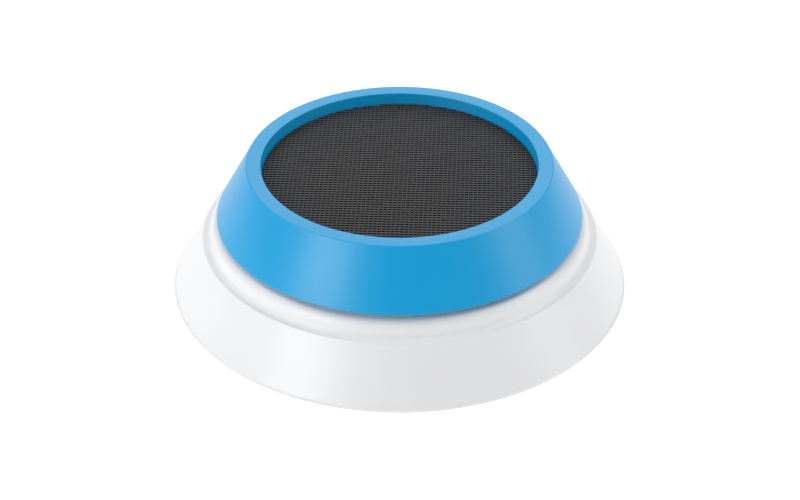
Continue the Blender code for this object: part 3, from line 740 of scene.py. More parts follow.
@dataclass
class Assembly:
    """What every sub-assembly shares.

    Args:
        body: The frame's body that its pieces ride on.
        pieces: The pieces that it has dressed so far.
    """

    body: str = "base"
    pieces: list[Piece] = field(default_factory=list)

    def settle(
        self,
        piece: Piece,
        finish: Finish,
        slot: str,
        *nodes: str,
        crease: float = 30.0,
        centre: Vector = ORIGIN,
    ) -> Piece:
        """Shade and dress a new piece and set it on the assembly's body.

        Args:
            piece: The finished mesh.
            finish: Its finish.
            slot: The record's material slot that it belongs to. It is not used.
            nodes: The frame's nodes that it stands for.
            crease: The angle, in degrees, past which an edge stays sharp.
            centre: The point that turned rings stand round.

        Returns:
            The piece.
        """
        work_on(piece)
        bpy.ops.object.shade_smooth_by_angle(angle=math.radians(crease))
        piece.data.materials.clear()
        piece.data.materials.append(finish.material(centre))
        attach(piece, self.body)
        if nodes:
            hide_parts(*nodes)
        self.pieces.append(piece)
        return piece

    def dress(self, finish: Finish, *nodes: str, centre: Vector | None = None) -> None:
        """Give the frame's own nodes a finish.

        Args:
            finish: The finish.
            nodes: The nodes' names.
            centre: The point that turned rings stand round, or none for each node's own centre.
        """
        for name in nodes:
            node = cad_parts[name]
            low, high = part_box(name)
            middle = centre or (low + high) / 2
            turned_here = finish.relief is Relief.TURNED
            node.data.materials.clear()
            node.data.materials.append(finish.material(middle if turned_here else ORIGIN))
            self.pieces.append(node)

    def build(self) -> list[Piece]:
        """Build and dress every piece, and return them all."""
        raise NotImplementedError


# ---------------------------------------------------------------- fasteners


class Drive(Enum):
    """The recess that a driver fits."""

    CROSS = "cross"
    HEX = "hex"


@dataclass(frozen=True)
class Screw:
    """A screw that stands with its head down and its thread up.

    Args:
        head: The head's radius.
        head_low: The height where the head starts.
        head_high: The height of the head's seat.
        shank: The thread's outer radius.
        top: The height of the thread's end.
        pitch: The distance from one thread to the next.
        drive: The recess in the head.
        plain: The height up to which the shank has no thread.
        root_share: The thread's inner radius, against its outer one.
        recess_share: The recess's depth, against the head's height.
        facets: How many facets a turn has.
    """

    head: float
    head_low: float
    head_high: float
    shank: float
    top: float
    pitch: float = 0.5 * MM
    drive: Drive = Drive.CROSS
    plain: float = 0.0
    root_share: float = 0.82
    recess_share: float = 0.65
    facets: int = 40

    def build(self, name: str) -> Piece:
        """Make the screw at the origin.

        Args:
            name: The piece's name.

        Returns:
            The piece.
        """
        height = self.head_high - self.head_low
        edge = min(0.45 * MM, height * 0.4)
        corners = [(0.0, self.top, 0.0)]
        corners += self.thread()
        corners.append((self.shank, self.head_high, 0.0))
        corners.append((self.head, self.head_high, 0.12 * MM))
        corners.append((self.head, self.head_low, edge))
        corners.append((0.0, self.head_low, 0.0))
        screw = turned(name, corners, self.facets, 4)
        return cut(screw, *self.recess(height * self.recess_share))

    def thread(self) -> list[Corner]:
        """Draw the thread, from its end down to the plain shank.

        Returns:
            Its corners.
        """
        root = self.shank * self.root_share
        corners = [(root, self.top, 0.0)]
        low = max(self.plain, self.head_high + self.pitch)
        count = max(1, int((self.top - low) / self.pitch))
        for turn in range(count):
            level = self.top - self.pitch * (turn + 0.5)
            corners.append((self.shank, level, 0.0))
            corners.append((root, level - self.pitch * 0.5, 0.0))
        corners.append((self.shank, self.top - self.pitch * count - self.pitch * 0.3, 0.0))
        return corners

    def recess(self, depth: float) -> list[Piece]:
        """Make the cutters of the driver's recess.

        Args:
            depth: How deep the recess is.

        Returns:
            The cutters.
        """
        low = self.head_low - MM
        high = self.head_low + depth
        if self.drive is Drive.HEX:
            return [rod("recess", self.head * 0.5, low, high, 0, 6)]
        arm = self.head * 0.58
        width = self.head * 0.13
        bar = block("recess", (-arm, -width, low), (arm, width, high))
        return [weld(bar, copied(bar, "recess_bar", (0, 0, 0), (0, 0, 90)))]


# ---------------------------------------------------------------- base


@dataclass
class Housing(Assembly):
    """The white base: a cone with a groove and a rounded shoulder, a ledge and a collar under the head."""

    segments: int = 240
    collar_outer: float = 56.5 * MM
    collar_inner: float = 54.5 * MM
    ledge: float = 27.0 * MM
    step: float = 20.4 * MM  # the height of the step at the groove
    shoulder: float = 3.9 * MM  # the shoulder's own radius
    shoulder_at: Point = (-6.9 * MM, 2.4 * MM)  # its centre, from the step's edge
    groove: float = 2.3 * MM
    groove_at: Point = (-0.45 * MM, 2.35 * MM)
    rim: float = 0.8 * MM  # the height of the rim at the bench
    wall: float = 2.96 * MM  # the wall's thickness, measured level
    # the inner wall under the shoulder
    throat: tuple[Point, ...] = (
        (63.6 * MM, 18.8 * MM),
        (63.23 * MM, 20.2 * MM),
        (62.6 * MM, 22.6 * MM),
        (59.0 * MM, 24.0 * MM),
    )
    roof: float = 24.4 * MM  # the inner height where the collar starts
    inner_low: float = 5.9 * MM
    inner_high: float = 16.4 * MM
    panel: float = 62.0 * MM  # the rear panel's distance from the axis
    panel_wall: float = 2.4 * MM
    bay_low: float = 7.4 * MM
    bay_high: float = 18.6 * MM
    bay_half: float = 22.5  # degrees each side of the rear
    back_half: float = 26.0  # degrees of the inner wall that go in with the bay
    throat_half: float = 19.5  # the same, under the shoulder
    boss: float = 4.2 * MM
    boss_top: float = 21.0 * MM
    boss_circle: float = 62.0 * MM
    boss_angles: tuple[float, ...] = (45, 135, 225, 315)
    pilot: float = 1.6 * MM
    pilot_top: float = 14.0 * MM
    dial_hole: float = 3.4 * MM
    inlet_hole: float = 4.4 * MM
    control: float = 18.0 * MM  # how far the inlet and the switch stand from the middle
    switch_half: Point = (6.3 * MM, 4.3 * MM)

    def build(self) -> list[Piece]:
        """Build the housing.

        Returns:
            The pieces.
        """
        shell = turned("moulded_housing", self.outline(), self.segments, 4)
        with editing(shell):
            self.push_in_bay(shell)
        self.add_bosses(shell)
        self.open_panel(shell)
        self.settle(shell, WHITE_ABS, "white_abs", "base_housing", crease=26)
        return self.pieces

    def outline(self) -> list[Corner]:
        """Draw the wall's section, from the collar down the outside and up the inside.

        Returns:
            Its corners.
        """
        low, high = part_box("base_housing")
        edge = BASE_CONE.at(self.step)
        shoulder = (edge + self.shoulder_at[0], self.step + self.shoulder_at[1])
        groove = (edge + self.groove_at[0], self.step + self.groove_at[1])
        corners = [(self.collar_outer, high.z, 0.35 * MM), (self.collar_outer, self.ledge, 0.5 * MM)]
        corners += arc(shoulder, self.shoulder, 72, 8, 14)
        corners += arc(groove, self.groove, 188, 262, 12)
        corners.append((edge, self.step, 0.22 * MM))
        corners.append((BASE_CONE.at(self.bay_high), self.bay_high, 0.0))
        corners.append((BASE_CONE.at(self.bay_low), self.bay_low, 0.0))
        corners.append((BASE_CONE.at(low.z + self.rim), low.z + self.rim, 0.5 * MM))
        corners.append((high.x, low.z + 0.3 * MM, 0.15 * MM))
        corners.append((high.x - 0.2 * MM, low.z, 0.1 * MM))
        corners.append((BASE_CONE.at(low.z) - self.wall, low.z, 0.3 * MM))
        for level in (self.inner_low, self.inner_high):
            corners.append((BASE_CONE.at(level) - self.wall, level, 0.0))
        corners += [(radius, level, 0.0) for radius, level in self.throat]
        corners.append((self.collar_inner, self.roof, 0.0))
        corners.append((self.collar_inner, high.z, 0.35 * MM))
        return corners

    def push_in_bay(self, shell: Piece) -> None:
        """Push a patch of the rear wall in to the bay's flat panel, and the wall behind it as far.

        Args:
            shell: The turned housing, in edit mode.
        """
        inside = self.panel - self.panel_wall
        throat_low = self.throat[0][1]
        throat_high = self.throat[1][1]

        def outer(centre: Vector, normal: Vector) -> bool:
            """Whether a face, by its centre and normal, is on the outer wall, where the bay opens."""
            on_wall = normal.y > 0 and self.bay_low < centre.z < self.bay_high
            return on_wall and abs(angle_of(centre) - 90) < self.bay_half

        def inner(centre: Vector, normal: Vector) -> bool:
            """Test whether a face is on the inner wall, behind the bay.

            Args:
                centre: The face's centre.
                normal: Its normal.

            Returns:
                Whether it is.
            """
            half = self.back_half if centre.z < throat_low else self.throat_half
            on_wall = normal.y < 0 and self.inner_low < centre.z < throat_high
            return on_wall and abs(angle_of(centre) - 90) < half and centre.y > inside

        for test, plane in ((outer, self.panel), (inner, inside)):
            pick(shell, Element.FACE, test)
            bpy.ops.mesh.extrude_region_move()
            bpy.ops.transform.resize(value=(1, 0, 1), center_override=(0, plane, 0))
        pick(shell, Element.EDGE, self.on_rim)
        bpy.ops.mesh.bevel(offset=0.5 * MM, segments=3, affect="EDGES")
        pick(shell, Element.EDGE, self.on_panel_edge)
        bpy.ops.mesh.bevel(offset=0.35 * MM, segments=2, affect="EDGES")

    def on_rim(self, first: Vector, second: Vector) -> bool:
        """Test whether an edge is on the bay's rim, where it breaks the cone.

        Args:
            first: The edge's one end.
            second: Its other end.

        Returns:
            Whether it is.
        """
        for place in (first, second):
            if abs(math.hypot(place.x, place.y) - BASE_CONE.at(place.z)) > NEAR:
                return False
            if abs(angle_of(place) - 90) > self.bay_half + NEAR_TURN:
                return False
        middle = (first + second) / 2
        at_level = min(abs(middle.z - self.bay_low), abs(middle.z - self.bay_high)) < NEAR
        at_end = abs(abs(angle_of(middle) - 90) - self.bay_half) < NEAR_TURN
        inside = self.bay_low - NEAR < middle.z < self.bay_high + NEAR
        return inside and (at_level or at_end)

    def on_panel_edge(self, first: Vector, second: Vector) -> bool:
        """Test whether an edge runs round the panel at the back of the bay.

        Args:
            first: The edge's one end.
            second: Its other end.

        Returns:
            Whether it does.
        """
        if max(abs(first.y - self.panel), abs(second.y - self.panel)) > NEAR:
            return False
        middle = (first + second) / 2
        at_level = min(abs(middle.z - self.bay_low), abs(middle.z - self.bay_high)) < NEAR
        half = math.sin(math.radians(self.bay_half)) * BASE_CONE.at(middle.z)
        return at_level or abs(abs(middle.x) - half) < 2 * NEAR

    def add_bosses(self, shell: Piece) -> None:
        """Add the four bosses that take the base's screws, each with its pilot hole.

        Args:
            shell: The housing.
        """
        boss = rod("boss", self.boss, self.inner_low, self.boss_top, 0.25 * MM, 40)
        pilot = rod("pilot", self.pilot, self.inner_low - 0.9 * MM, self.pilot_top, 0, 24)
        places = [around(self.boss_circle, angle) for angle in self.boss_angles]
        weld(shell, *[copied(boss, f"boss_{number}", place) for number, place in enumerate(places)])
        cut(shell, *[copied(pilot, f"pilot_{number}", place) for number, place in enumerate(places)])
        bpy.data.objects.remove(boss)
        bpy.data.objects.remove(pilot)

    def open_panel(self, shell: Piece) -> None:
        """Cut the panel's holes for the dial's shaft, the inlet and the switch.

        Args:
            shell: The housing.
        """
        middle = (self.bay_low + self.bay_high) / 2
        behind = -4 * MM
        before = 2 * MM
        dial = rod("dial_hole", self.dial_hole, behind, before, 0, 48)
        faced_back(dial, (0, self.panel, middle))
        inlet = rod("inlet_hole", self.inlet_hole, behind, before, 0, 48)
        faced_back(inlet, (-self.control, self.panel, middle))
        across, up = self.switch_half
        low = (self.control - across, self.panel + behind, middle - up)
        high = (self.control + across, self.panel + before, middle + up)
        cut(shell, dial, inlet, block("switch_hole", low, high))


@dataclass
class Underside(Assembly):
    """The steel plate that closes the base, its screws, and the four rubber feet."""

    foot_circle: float = 60.0 * MM
    foot_angles: tuple[float, ...] = (0, 90, 180, 270)
    foot: float = 8.0 * MM
    foot_top: float = 3.3 * MM
    foot_grooves: Point = (5.4 * MM, 3.0 * MM)  # the radii of its two grooves
    screw_circle: float = 62.0 * MM
    screw_angles: tuple[float, ...] = (45, 135, 225, 315)
    bolt_circle: float = 37.5 * MM
    bolt_angles: tuple[float, ...] = (30, 150, 270)
    top: float = 5.6 * MM  # the height of the plate's top
    rim_gap: float = 0.7 * MM  # the plate's clearance to the housing at its top
    foot_gap: float = 0.3 * MM
    head_seat: float = 3.4 * MM
    head_seat_top: float = 3.9 * MM
    screw_hole: float = 1.8 * MM
    bolt_hole: float = 2.3 * MM
    post: float = 2.0 * MM
    post_at: Point = (-56.0 * MM, 9.5 * MM)  # the board's standoffs

    def build(self) -> list[Piece]:
        """Build the plate, the screws and the feet.

        Returns:
            The pieces.
        """
        self.build_plate()
        foot = turned("foot", self.foot_outline(), 64, 4)
        screw = Screw(
            head=3 * MM, head_low=1.9 * MM, head_high=3.6 * MM, shank=1.5 * MM, top=13 * MM, pitch=0.9 * MM
        ).build("screw")
        for number, angle in enumerate(self.foot_angles, 1):
            twin = copied(foot, f"foot_pad_{number}", around(self.foot_circle, angle))
            self.settle(twin, FOOT_RUBBER, "foot_rubber", f"rubber_foot_{number}")
        for number, angle in enumerate(self.screw_angles, 1):
            twin = copied(screw, f"pan_head_screw_{number}", around(self.screw_circle, angle))
            self.settle(twin, ZINC, "screw_steel", f"base_screw_{number}")
        bpy.data.objects.remove(foot)
        bpy.data.objects.remove(screw)
        return self.pieces

    def build_plate(self) -> None:
        """Build the plate with its recesses and the two standoffs of the board."""
        low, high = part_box("base_plate")
        narrow = BASE_CONE.at(self.top) - Housing.wall - self.rim_gap
        corners = [
            (0.0, self.top, 0.0),
            (narrow, self.top, 0.4 * MM),
            (high.x, low.z, 0.4 * MM),
            (0.0, low.z, 0.0),
        ]
        plate = turned("weighted_plate", corners, 180, 3)
        seats: list[Piece] = []
        for angle in self.foot_angles:
            seat = rod("seat", self.foot + self.foot_gap, 0, self.foot_top + self.foot_gap, 0, 64)
            seats.append(moved(seat, around(self.foot_circle, angle)))
        for angle in self.screw_angles:
            seat = rod("head_seat", self.head_seat, 0, self.head_seat_top, 0, 40)
            seats.append(moved(seat, around(self.screw_circle, angle)))
        cut(plate, *seats)
        holes: list[Piece] = []
        for angle in self.screw_angles:
            hole = rod("hole", self.screw_hole, 0, 8 * MM)
            holes.append(moved(hole, around(self.screw_circle, angle)))
        for angle in self.bolt_angles:
            hole = rod("hole", self.bolt_hole, 3 * MM, 8 * MM)
            holes.append(moved(hole, around(self.bolt_circle, angle)))
        cut(plate, *holes)
        posts: list[Piece] = []
        for side in (-1, 1):
            post = rod("post", self.post, 4 * MM, 7 * MM, 0.2 * MM)
            posts.append(moved(post, (self.post_at[0], side * self.post_at[1], 0)))
        weld(plate, *posts)
        self.settle(plate, POWDER_COAT, "painted_steel", "base_plate", crease=28)

    def foot_outline(self) -> list[Corner]:
        """Draw a foot's section: a rounded pad with two grooves that grip the bench.

        Returns:
            Its corners.
        """
        corners = [
            (0.0, self.foot_top, 0.0),
            (self.foot, self.foot_top, 0.2 * MM),
            (self.foot, 0.0, 0.55 * MM),
        ]
        for middle in self.foot_grooves:
            corners.append((middle + 0.5 * MM, 0.0, 0.12 * MM))
            corners.append((middle + 0.3 * MM, 0.4 * MM, 0.1 * MM))
            corners.append((middle - 0.3 * MM, 0.4 * MM, 0.1 * MM))
            corners.append((middle - 0.5 * MM, 0.0, 0.12 * MM))
        corners.append((0.0, 0.0, 0.0))
        return corners


# ---------------------------------------------------------------- head


@dataclass
class Head(Assembly):
    """The blue dish with its skirt, and the mat on the dish's floor."""

    body: str = "head"
    segments: int = 256
    dish: float = 47.7 * MM  # the dish's radius at its rim
    draft: float = 0.4 * MM  # how much narrower it is at its floor
    floor_top: float = 43.0 * MM
    floor_bottom: float = 40.6 * MM
    wall: float = 2.85 * MM  # the skirt's thickness, measured level
    hub: Point = (2.5 * MM, 1.9 * MM)  # the dish wall's thickness under the rim and at the floor
    screw_circle: float = 38.0 * MM
    screw_angles: tuple[float, ...] = (30, 150, 270)
    seat: float = 3.1 * MM
    seat_depth: float = 1.7 * MM
    hole: float = 1.8 * MM

    def build(self) -> list[Piece]:
        """Build the cover and the mat.

        Returns:
            The pieces.
        """
        self.build_cover()
        self.settle(RubberMat().build(), MAT_RUBBER, "mat_rubber", "rubber_mat", crease=20)
        return self.pieces

    def build_cover(self) -> None:
        """Build the dish and skirt in one, with the three stepped holes under the mat."""
        low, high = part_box("head_cover")
        under = self.floor_top + 1.2 * MM
        inner = self.dish - self.draft
        corners = [
            (0.0, self.floor_top, 0.0),
            (inner, self.floor_top, 0.4 * MM),
            (self.dish, high.z, 0.3 * MM),
            (HEAD_CONE.at(high.z), high.z, 0.4 * MM),
            (HEAD_CONE.at(low.z), low.z, 0.3 * MM),
            (HEAD_CONE.at(low.z) - self.wall, low.z, 0.25 * MM),
            (HEAD_CONE.at(under) - self.wall, under, 1.0 * MM),
            (inner + self.hub[0], under, 0.5 * MM),
            (inner + self.hub[1], self.floor_bottom, 0.4 * MM),
            (0.0, self.floor_bottom, 0.0),
        ]
        cover = turned("dish_and_skirt", corners, self.segments, 5)
        cutters: list[Piece] = []
        for angle in self.screw_angles:
            seat = rod("seat", self.seat, self.floor_top - self.seat_depth, self.floor_top + MM, 0, 40)
            hole = rod("hole", self.hole, self.floor_bottom - MM, self.floor_top)
            cutters.append(moved(weld(seat, hole), around(self.screw_circle, angle)))
        cut(cover, *cutters)
        moved(cover, HEAD_SHIFT)
        self.settle(cover, BLUE_ABS, "blue_abs", "head_cover", crease=28)


@dataclass
class RubberMat:
    """A round mat moulded with fore-and-aft ridges, and higher rungs between them that leave square pits."""

    pitch: float = 1.5 * MM  # the distance from one ridge or rung to the next
    ridge: float = 0.26 * MM
    rung: float = 0.70 * MM
    rung_rise: float = 0.035 * MM
    lip: float = 0.06 * MM  # the depth of a pit's sloping edge
    pit_depth: float = 0.75 * MM
    turn: float = 2.35  # degrees that the ridges stand off the fore-and-aft line

    def build(self) -> Piece:
        """Make the mat from one cell, repeated over a square sheet and cut to a disc.

        Returns:
            The piece.
        """
        low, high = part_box("rubber_mat")
        radius = (high.x - low.x) / 2
        count = 2 * math.ceil(radius / self.pitch) + 2
        cell = self.cell()
        for axis in range(2):
            step = [0.0, 0.0, 0.0]
            step[axis] = self.pitch
            apply_modifier(
                cell,
                "ARRAY",
                count=count,
                use_relative_offset=False,
                use_constant_offset=True,
                constant_offset_displace=step,
                use_merge_vertices=True,
                merge_threshold=WELD,
            )
        half = (count - 1) * self.pitch / 2
        moved(cell, (-half, -half, high.z - self.rung_rise))
        moved(cell, (0, 0, 0), (0, 0, -self.turn))
        with editing(cell):
            bpy.ops.mesh.select_mode(type="EDGE")
            bpy.ops.mesh.select_all(action="DESELECT")
            bpy.ops.mesh.select_non_manifold()
            bpy.ops.mesh.extrude_region_move()
            depth = high.z - low.z + 2 * MM
            bpy.ops.transform.resize(value=(1, 1, 0), center_override=(0, 0, high.z - depth))
            bpy.ops.mesh.edge_face_add()
            tidy()
        disc = rod("disc", radius, low.z, high.z + MM, 0, 256)
        combine(cell, [disc], "INTERSECT", "MANIFOLD")
        cell.name = "textured_mat"
        cell.data.name = "textured_mat"
        return moved(cell, HEAD_SHIFT)

    def cell(self) -> Piece:
        """Build one cell of the texture, with its ridges at zero height and its rungs a little above.

        Returns:
            The piece, open at its four sides.
        """
        bpy.ops.object.select_all(action="DESELECT")
        bpy.ops.mesh.primitive_grid_add(x_subdivisions=3, y_subdivisions=3, size=self.pitch)
        cell = bpy.context.object
        across = (self.pitch - self.ridge) / (self.pitch / 3)
        along = (self.pitch - self.rung) / (self.pitch / 3)
        sixth = self.pitch / 6
        with editing(cell):
            pick(cell, Element.VERT, lambda place, _: abs(place.x) < sixth * 1.5)
            bpy.ops.transform.resize(value=(across, 1, 1), center_override=ORIGIN)
            pick(cell, Element.VERT, lambda place, _: abs(place.y) < sixth * 1.5)
            bpy.ops.transform.resize(value=(1, along, 1), center_override=ORIGIN)
            half = (self.pitch - self.ridge) / 2
            pick(cell, Element.FACE, lambda centre, _: abs(centre.x) < half)
            self.sink(-self.rung_rise, (0.96, 1, 1))
            pick(cell, Element.FACE, lambda centre, _: abs(centre.x) < half and abs(centre.y) < sixth)
            self.sink(self.lip, (0.97, 0.88, 1))
            self.sink(self.pit_depth + self.rung_rise - self.lip, (0.92, 0.95, 1))
            edge = self.pitch / 2 - NEAR
            pick(cell, Element.FACE, lambda centre, _: abs(centre.y) > edge)
            bpy.ops.mesh.delete(type="FACE")
        return cell

    @staticmethod
    def sink(depth: float, scale: Sequence[float]) -> None:
        """Extrude the selected faces down and draw them in a little, as a mould needs.

        Args:
            depth: How far they go down.
            scale: How much they are drawn in along each axis.
        """
        bpy.ops.mesh.extrude_region_move(TRANSFORM_OT_translate={"value": (0, 0, -depth)})
        bpy.ops.transform.resize(value=scale, center_override=ORIGIN)


# ---------------------------------------------------------------- rear panel


@dataclass
class RearPanel(Assembly):
    """The fixed controls in the bay: the switch's frame, the power inlet and the dial's tick marks."""

    panel: float = Housing.panel
    middle: float = (Housing.bay_low + Housing.bay_high) / 2
    inlet_x: float = -Housing.control
    rocker_x: float = Housing.control
    barrel: float = 4.1 * MM
    barrel_end: float = -9.0 * MM  # measured from the panel, like the other depths
    socket: float = 3.0 * MM
    socket_end: float = -7.0 * MM
    flange: float = 5.2 * MM
    flange_face: float = 1.6 * MM
    pin: float = 1.0 * MM
    frame_half: Point = (6.0 * MM, 4.0 * MM)  # half the switch's width and height
    frame_flange: float = 1.2 * MM  # how far the switch's flange stands out at its ends
    frame_face: float = 1.5 * MM
    pocket_half: Point = (5.3 * MM, 3.3 * MM)
    pocket_depth: float = 5.4 * MM
    clip: float = 0.5 * MM
    tick_angles: tuple[float, ...] = (56, 84, 112, 140)
    tick_inner: float = 6.1 * MM
    tick_half: float = 0.22 * MM
    case_half: Point = (5.4 * MM, 5.0 * MM)
    case_depth: float = 6.0 * MM
    case_gap: float = 2.7 * MM  # from the panel's face in to the case
    case_bore: float = 2.8 * MM
    leg_pitch: float = 2.5 * MM

    def build(self) -> list[Piece]:
        """Build the fixed controls.

        Returns:
            The pieces.
        """
        self.build_inlet()
        self.build_switch_frame()
        self.build_ticks()
        self.build_potentiometer()
        return self.pieces

    def build_inlet(self) -> None:
        """Build the inlet's barrel and its contact pin."""
        corners = [
            (0.0, self.socket_end, 0.0),
            (self.socket, self.socket_end, 0.2 * MM),
            (self.socket, self.flange_face - 0.3 * MM, 0.15 * MM),
            (self.socket + 0.3 * MM, self.flange_face, 0.1 * MM),
            (self.flange, self.flange_face, 0.4 * MM),
            (self.flange, 0.3 * MM, 0.1 * MM),
            (self.barrel, 0.3 * MM, 0.1 * MM),
            (self.barrel, self.barrel_end, 0.3 * MM),
            (0.0, self.barrel_end, 0.0),
        ]
        barrel = turned("inlet_barrel", corners, 72, 4)
        cut(barrel, rod("pin_seat", self.pin + 0.2 * MM, self.socket_end - 1.3 * MM, self.socket_end + MM))
        at = Vector((self.inlet_x, self.panel, self.middle))
        self.settle(faced_back(barrel, at), BLACK_ABS, "black_plastic", "dc_inlet")
        pin = rod("contact_pin", self.pin, self.socket_end - MM, -MM, 0.4 * MM, 40)
        self.settle(faced_back(pin, at), BRASS, "brass", "dc_inlet_pin", centre=at)

    def build_switch_frame(self) -> None:
        """Build the snap-in frame of the mains rocker."""
        front = self.panel + self.frame_face
        x, z = self.rocker_x, self.middle
        wide, tall = self.frame_half
        low = (x - wide, self.panel - 9 * MM, z - tall)
        high = (x + wide, front - 0.4 * MM, z + tall)
        body = block("switch_frame", low, high, 0.3 * MM)
        lap = self.frame_flange
        low = (x - wide - lap, self.panel + 0.3 * MM, z - tall - lap + 0.1 * MM)
        high = (x + wide + lap, front, z + tall + lap - 0.1 * MM)
        weld(body, block("flange", low, high, 0.4 * MM))
        across, up = self.pocket_half
        low = (x - across, self.panel - self.pocket_depth, z - up)
        high = (x + across, front + MM, z + up)
        cut(body, block("pocket", low, high, 0.15 * MM, 1))
        for side in (-1, 1):
            middle = x + side * (wide + self.clip / 2)
            half = self.clip / 2 + 0.1 * MM
            low = (middle - half, self.panel - 5 * MM, z - 1.2 * MM)
            high = (middle + half, self.panel - 3 * MM, z + 1.2 * MM)
            weld(body, block("clip", low, high, 0.1 * MM, 1))
        self.settle(body, BLACK_ABS, "black_plastic", "rocker_switch_body")

    def build_ticks(self) -> None:
        """Build plain painted ticks at the dial's sides, where the panel has room for them."""
        ticks: list[Piece] = []
        for turn in self.tick_angles:
            for side in (-1, 1):
                low = (-self.tick_half, -0.1 * MM, self.tick_inner)
                high = (self.tick_half, 0.15 * MM, self.tick_inner + MM)
                tick = block("tick", low, high, 0.06 * MM, 1)
                ticks.append(moved(tick, (0, self.panel, self.middle), (0, side * turn, 0)))
        scale = joined(ticks)
        scale.name = "dial_ticks"
        self.settle(scale, MARK_PAINT, "white_abs")

    def build_potentiometer(self) -> None:
        """Build the case of the dial's potentiometer, with its bore and the slots of its three legs."""
        front = self.panel - self.case_gap
        z = self.middle
        across, up = self.case_half
        low = (-across, front - self.case_depth, z - up)
        case = block("potentiometer_case", low, (across, front, z + up), 0.5 * MM)
        cut(case, faced_back(rod("bore", self.case_bore, -4.5 * MM, MM, 0, 40), (0, front, z)))
        for place in (-1, 0, 1):
            x = place * self.leg_pitch
            low = (x - 0.4 * MM, front - 5 * MM, z - up - MM)
            high = (x + 0.4 * MM, front - 4.6 * MM, z - up + MM)
            cut(case, block("leg_slot", low, high))
        self.settle(case, EPOXY, "black_plastic", "speed_potentiometer")


@dataclass
class Dial(Assembly):
    """The fluted speed knob, its pointer line and its shaft."""

    body: str = "dial"
    radius: float = 5.2 * MM
    low: float = 0.5 * MM  # measured from the panel, like the other depths
    high: float = 5.8 * MM
    flutes: int = 24
    facets: int = 4  # facets to each flute
    grip: float = 0.925  # the radius at the bottom of a flute, against the knob's
    socket: float = 2.8 * MM
    shaft: float = 2.5 * MM
    shaft_low: float = -6.7 * MM
    shaft_high: float = 3.8 * MM
    line_half: float = 0.3 * MM

    def build(self) -> list[Piece]:
        """Build the knob, its line and its shaft.

        Returns:
            The pieces.
        """
        at = Vector((0, RearPanel.panel, RearPanel.middle))
        self.build_knob(at)
        low = (-self.line_half, self.high - 0.45 * MM, 1.6 * MM)
        line = block("pointer_line", low, (self.line_half, self.high - 0.08 * MM, 4.3 * MM), 0.06 * MM, 1)
        self.settle(moved(line, at), MARK_PAINT, "white_abs")
        shaft = rod("knob_shaft", self.shaft, self.shaft_low, self.shaft_high, 0.3 * MM, 48)
        cut(shaft, block("flat", (-3 * MM, 1.7 * MM, 0.4 * MM), (3 * MM, 3 * MM, 5 * MM)))
        self.settle(faced_back(shaft, at), TURNED_ALUMINIUM, "aluminium", "dial_shaft", centre=at)
        return self.pieces

    def build_knob(self, at: Vector) -> None:
        """Build the knob: a turned body whose grip is drawn in at every flute.

        Args:
            at: Where its axis meets the panel.
        """
        low, high = self.low, self.high
        count = self.flutes * self.facets
        corners = [
            (0.0, high, 0.0),
            (3.6 * MM, high, 0.0),
            (self.radius * 0.93, high, 0.35 * MM),
            (self.radius * 0.965, high - 0.9 * MM, 0.0),
            (self.radius * 0.985, low + 0.9 * MM, 0.0),
            (self.radius, low + 0.6 * MM, 0.0),
            (self.radius, low, 0.15 * MM),
            (0.0, low, 0.0),
        ]
        knob = turned("fluted_knob", corners, count, 4)

        def grip(place: Vector, _: Vector) -> bool:
            """Test whether a vertex is at the bottom of a flute.

            Args:
                place: The vertex's place.

            Returns:
                Whether it is.
            """
            facet = round(angle_of(place) * count / 360)
            in_band = low + 0.7 * MM < place.z < high - 0.7 * MM
            return in_band and facet % self.facets == 0 and math.hypot(place.x, place.y) > self.radius * 0.9

        with editing(knob):
            pick(knob, Element.VERT, grip)
            bpy.ops.transform.resize(value=(self.grip, self.grip, 1), center_override=ORIGIN)
        cut(knob, rod("socket", self.socket, low - MM, self.shaft_high + 0.3 * MM, 0, 48))
        faced_back(knob, at)
        notch_low = at + Vector((-0.4 * MM, high - 0.5 * MM, 1.5 * MM))
        notch_high = at + Vector((0.4 * MM, high + MM, 6 * MM))
        cut(knob, block("notch", notch_low, notch_high))
        self.settle(knob, BLACK_ABS, "black_plastic", "speed_dial")


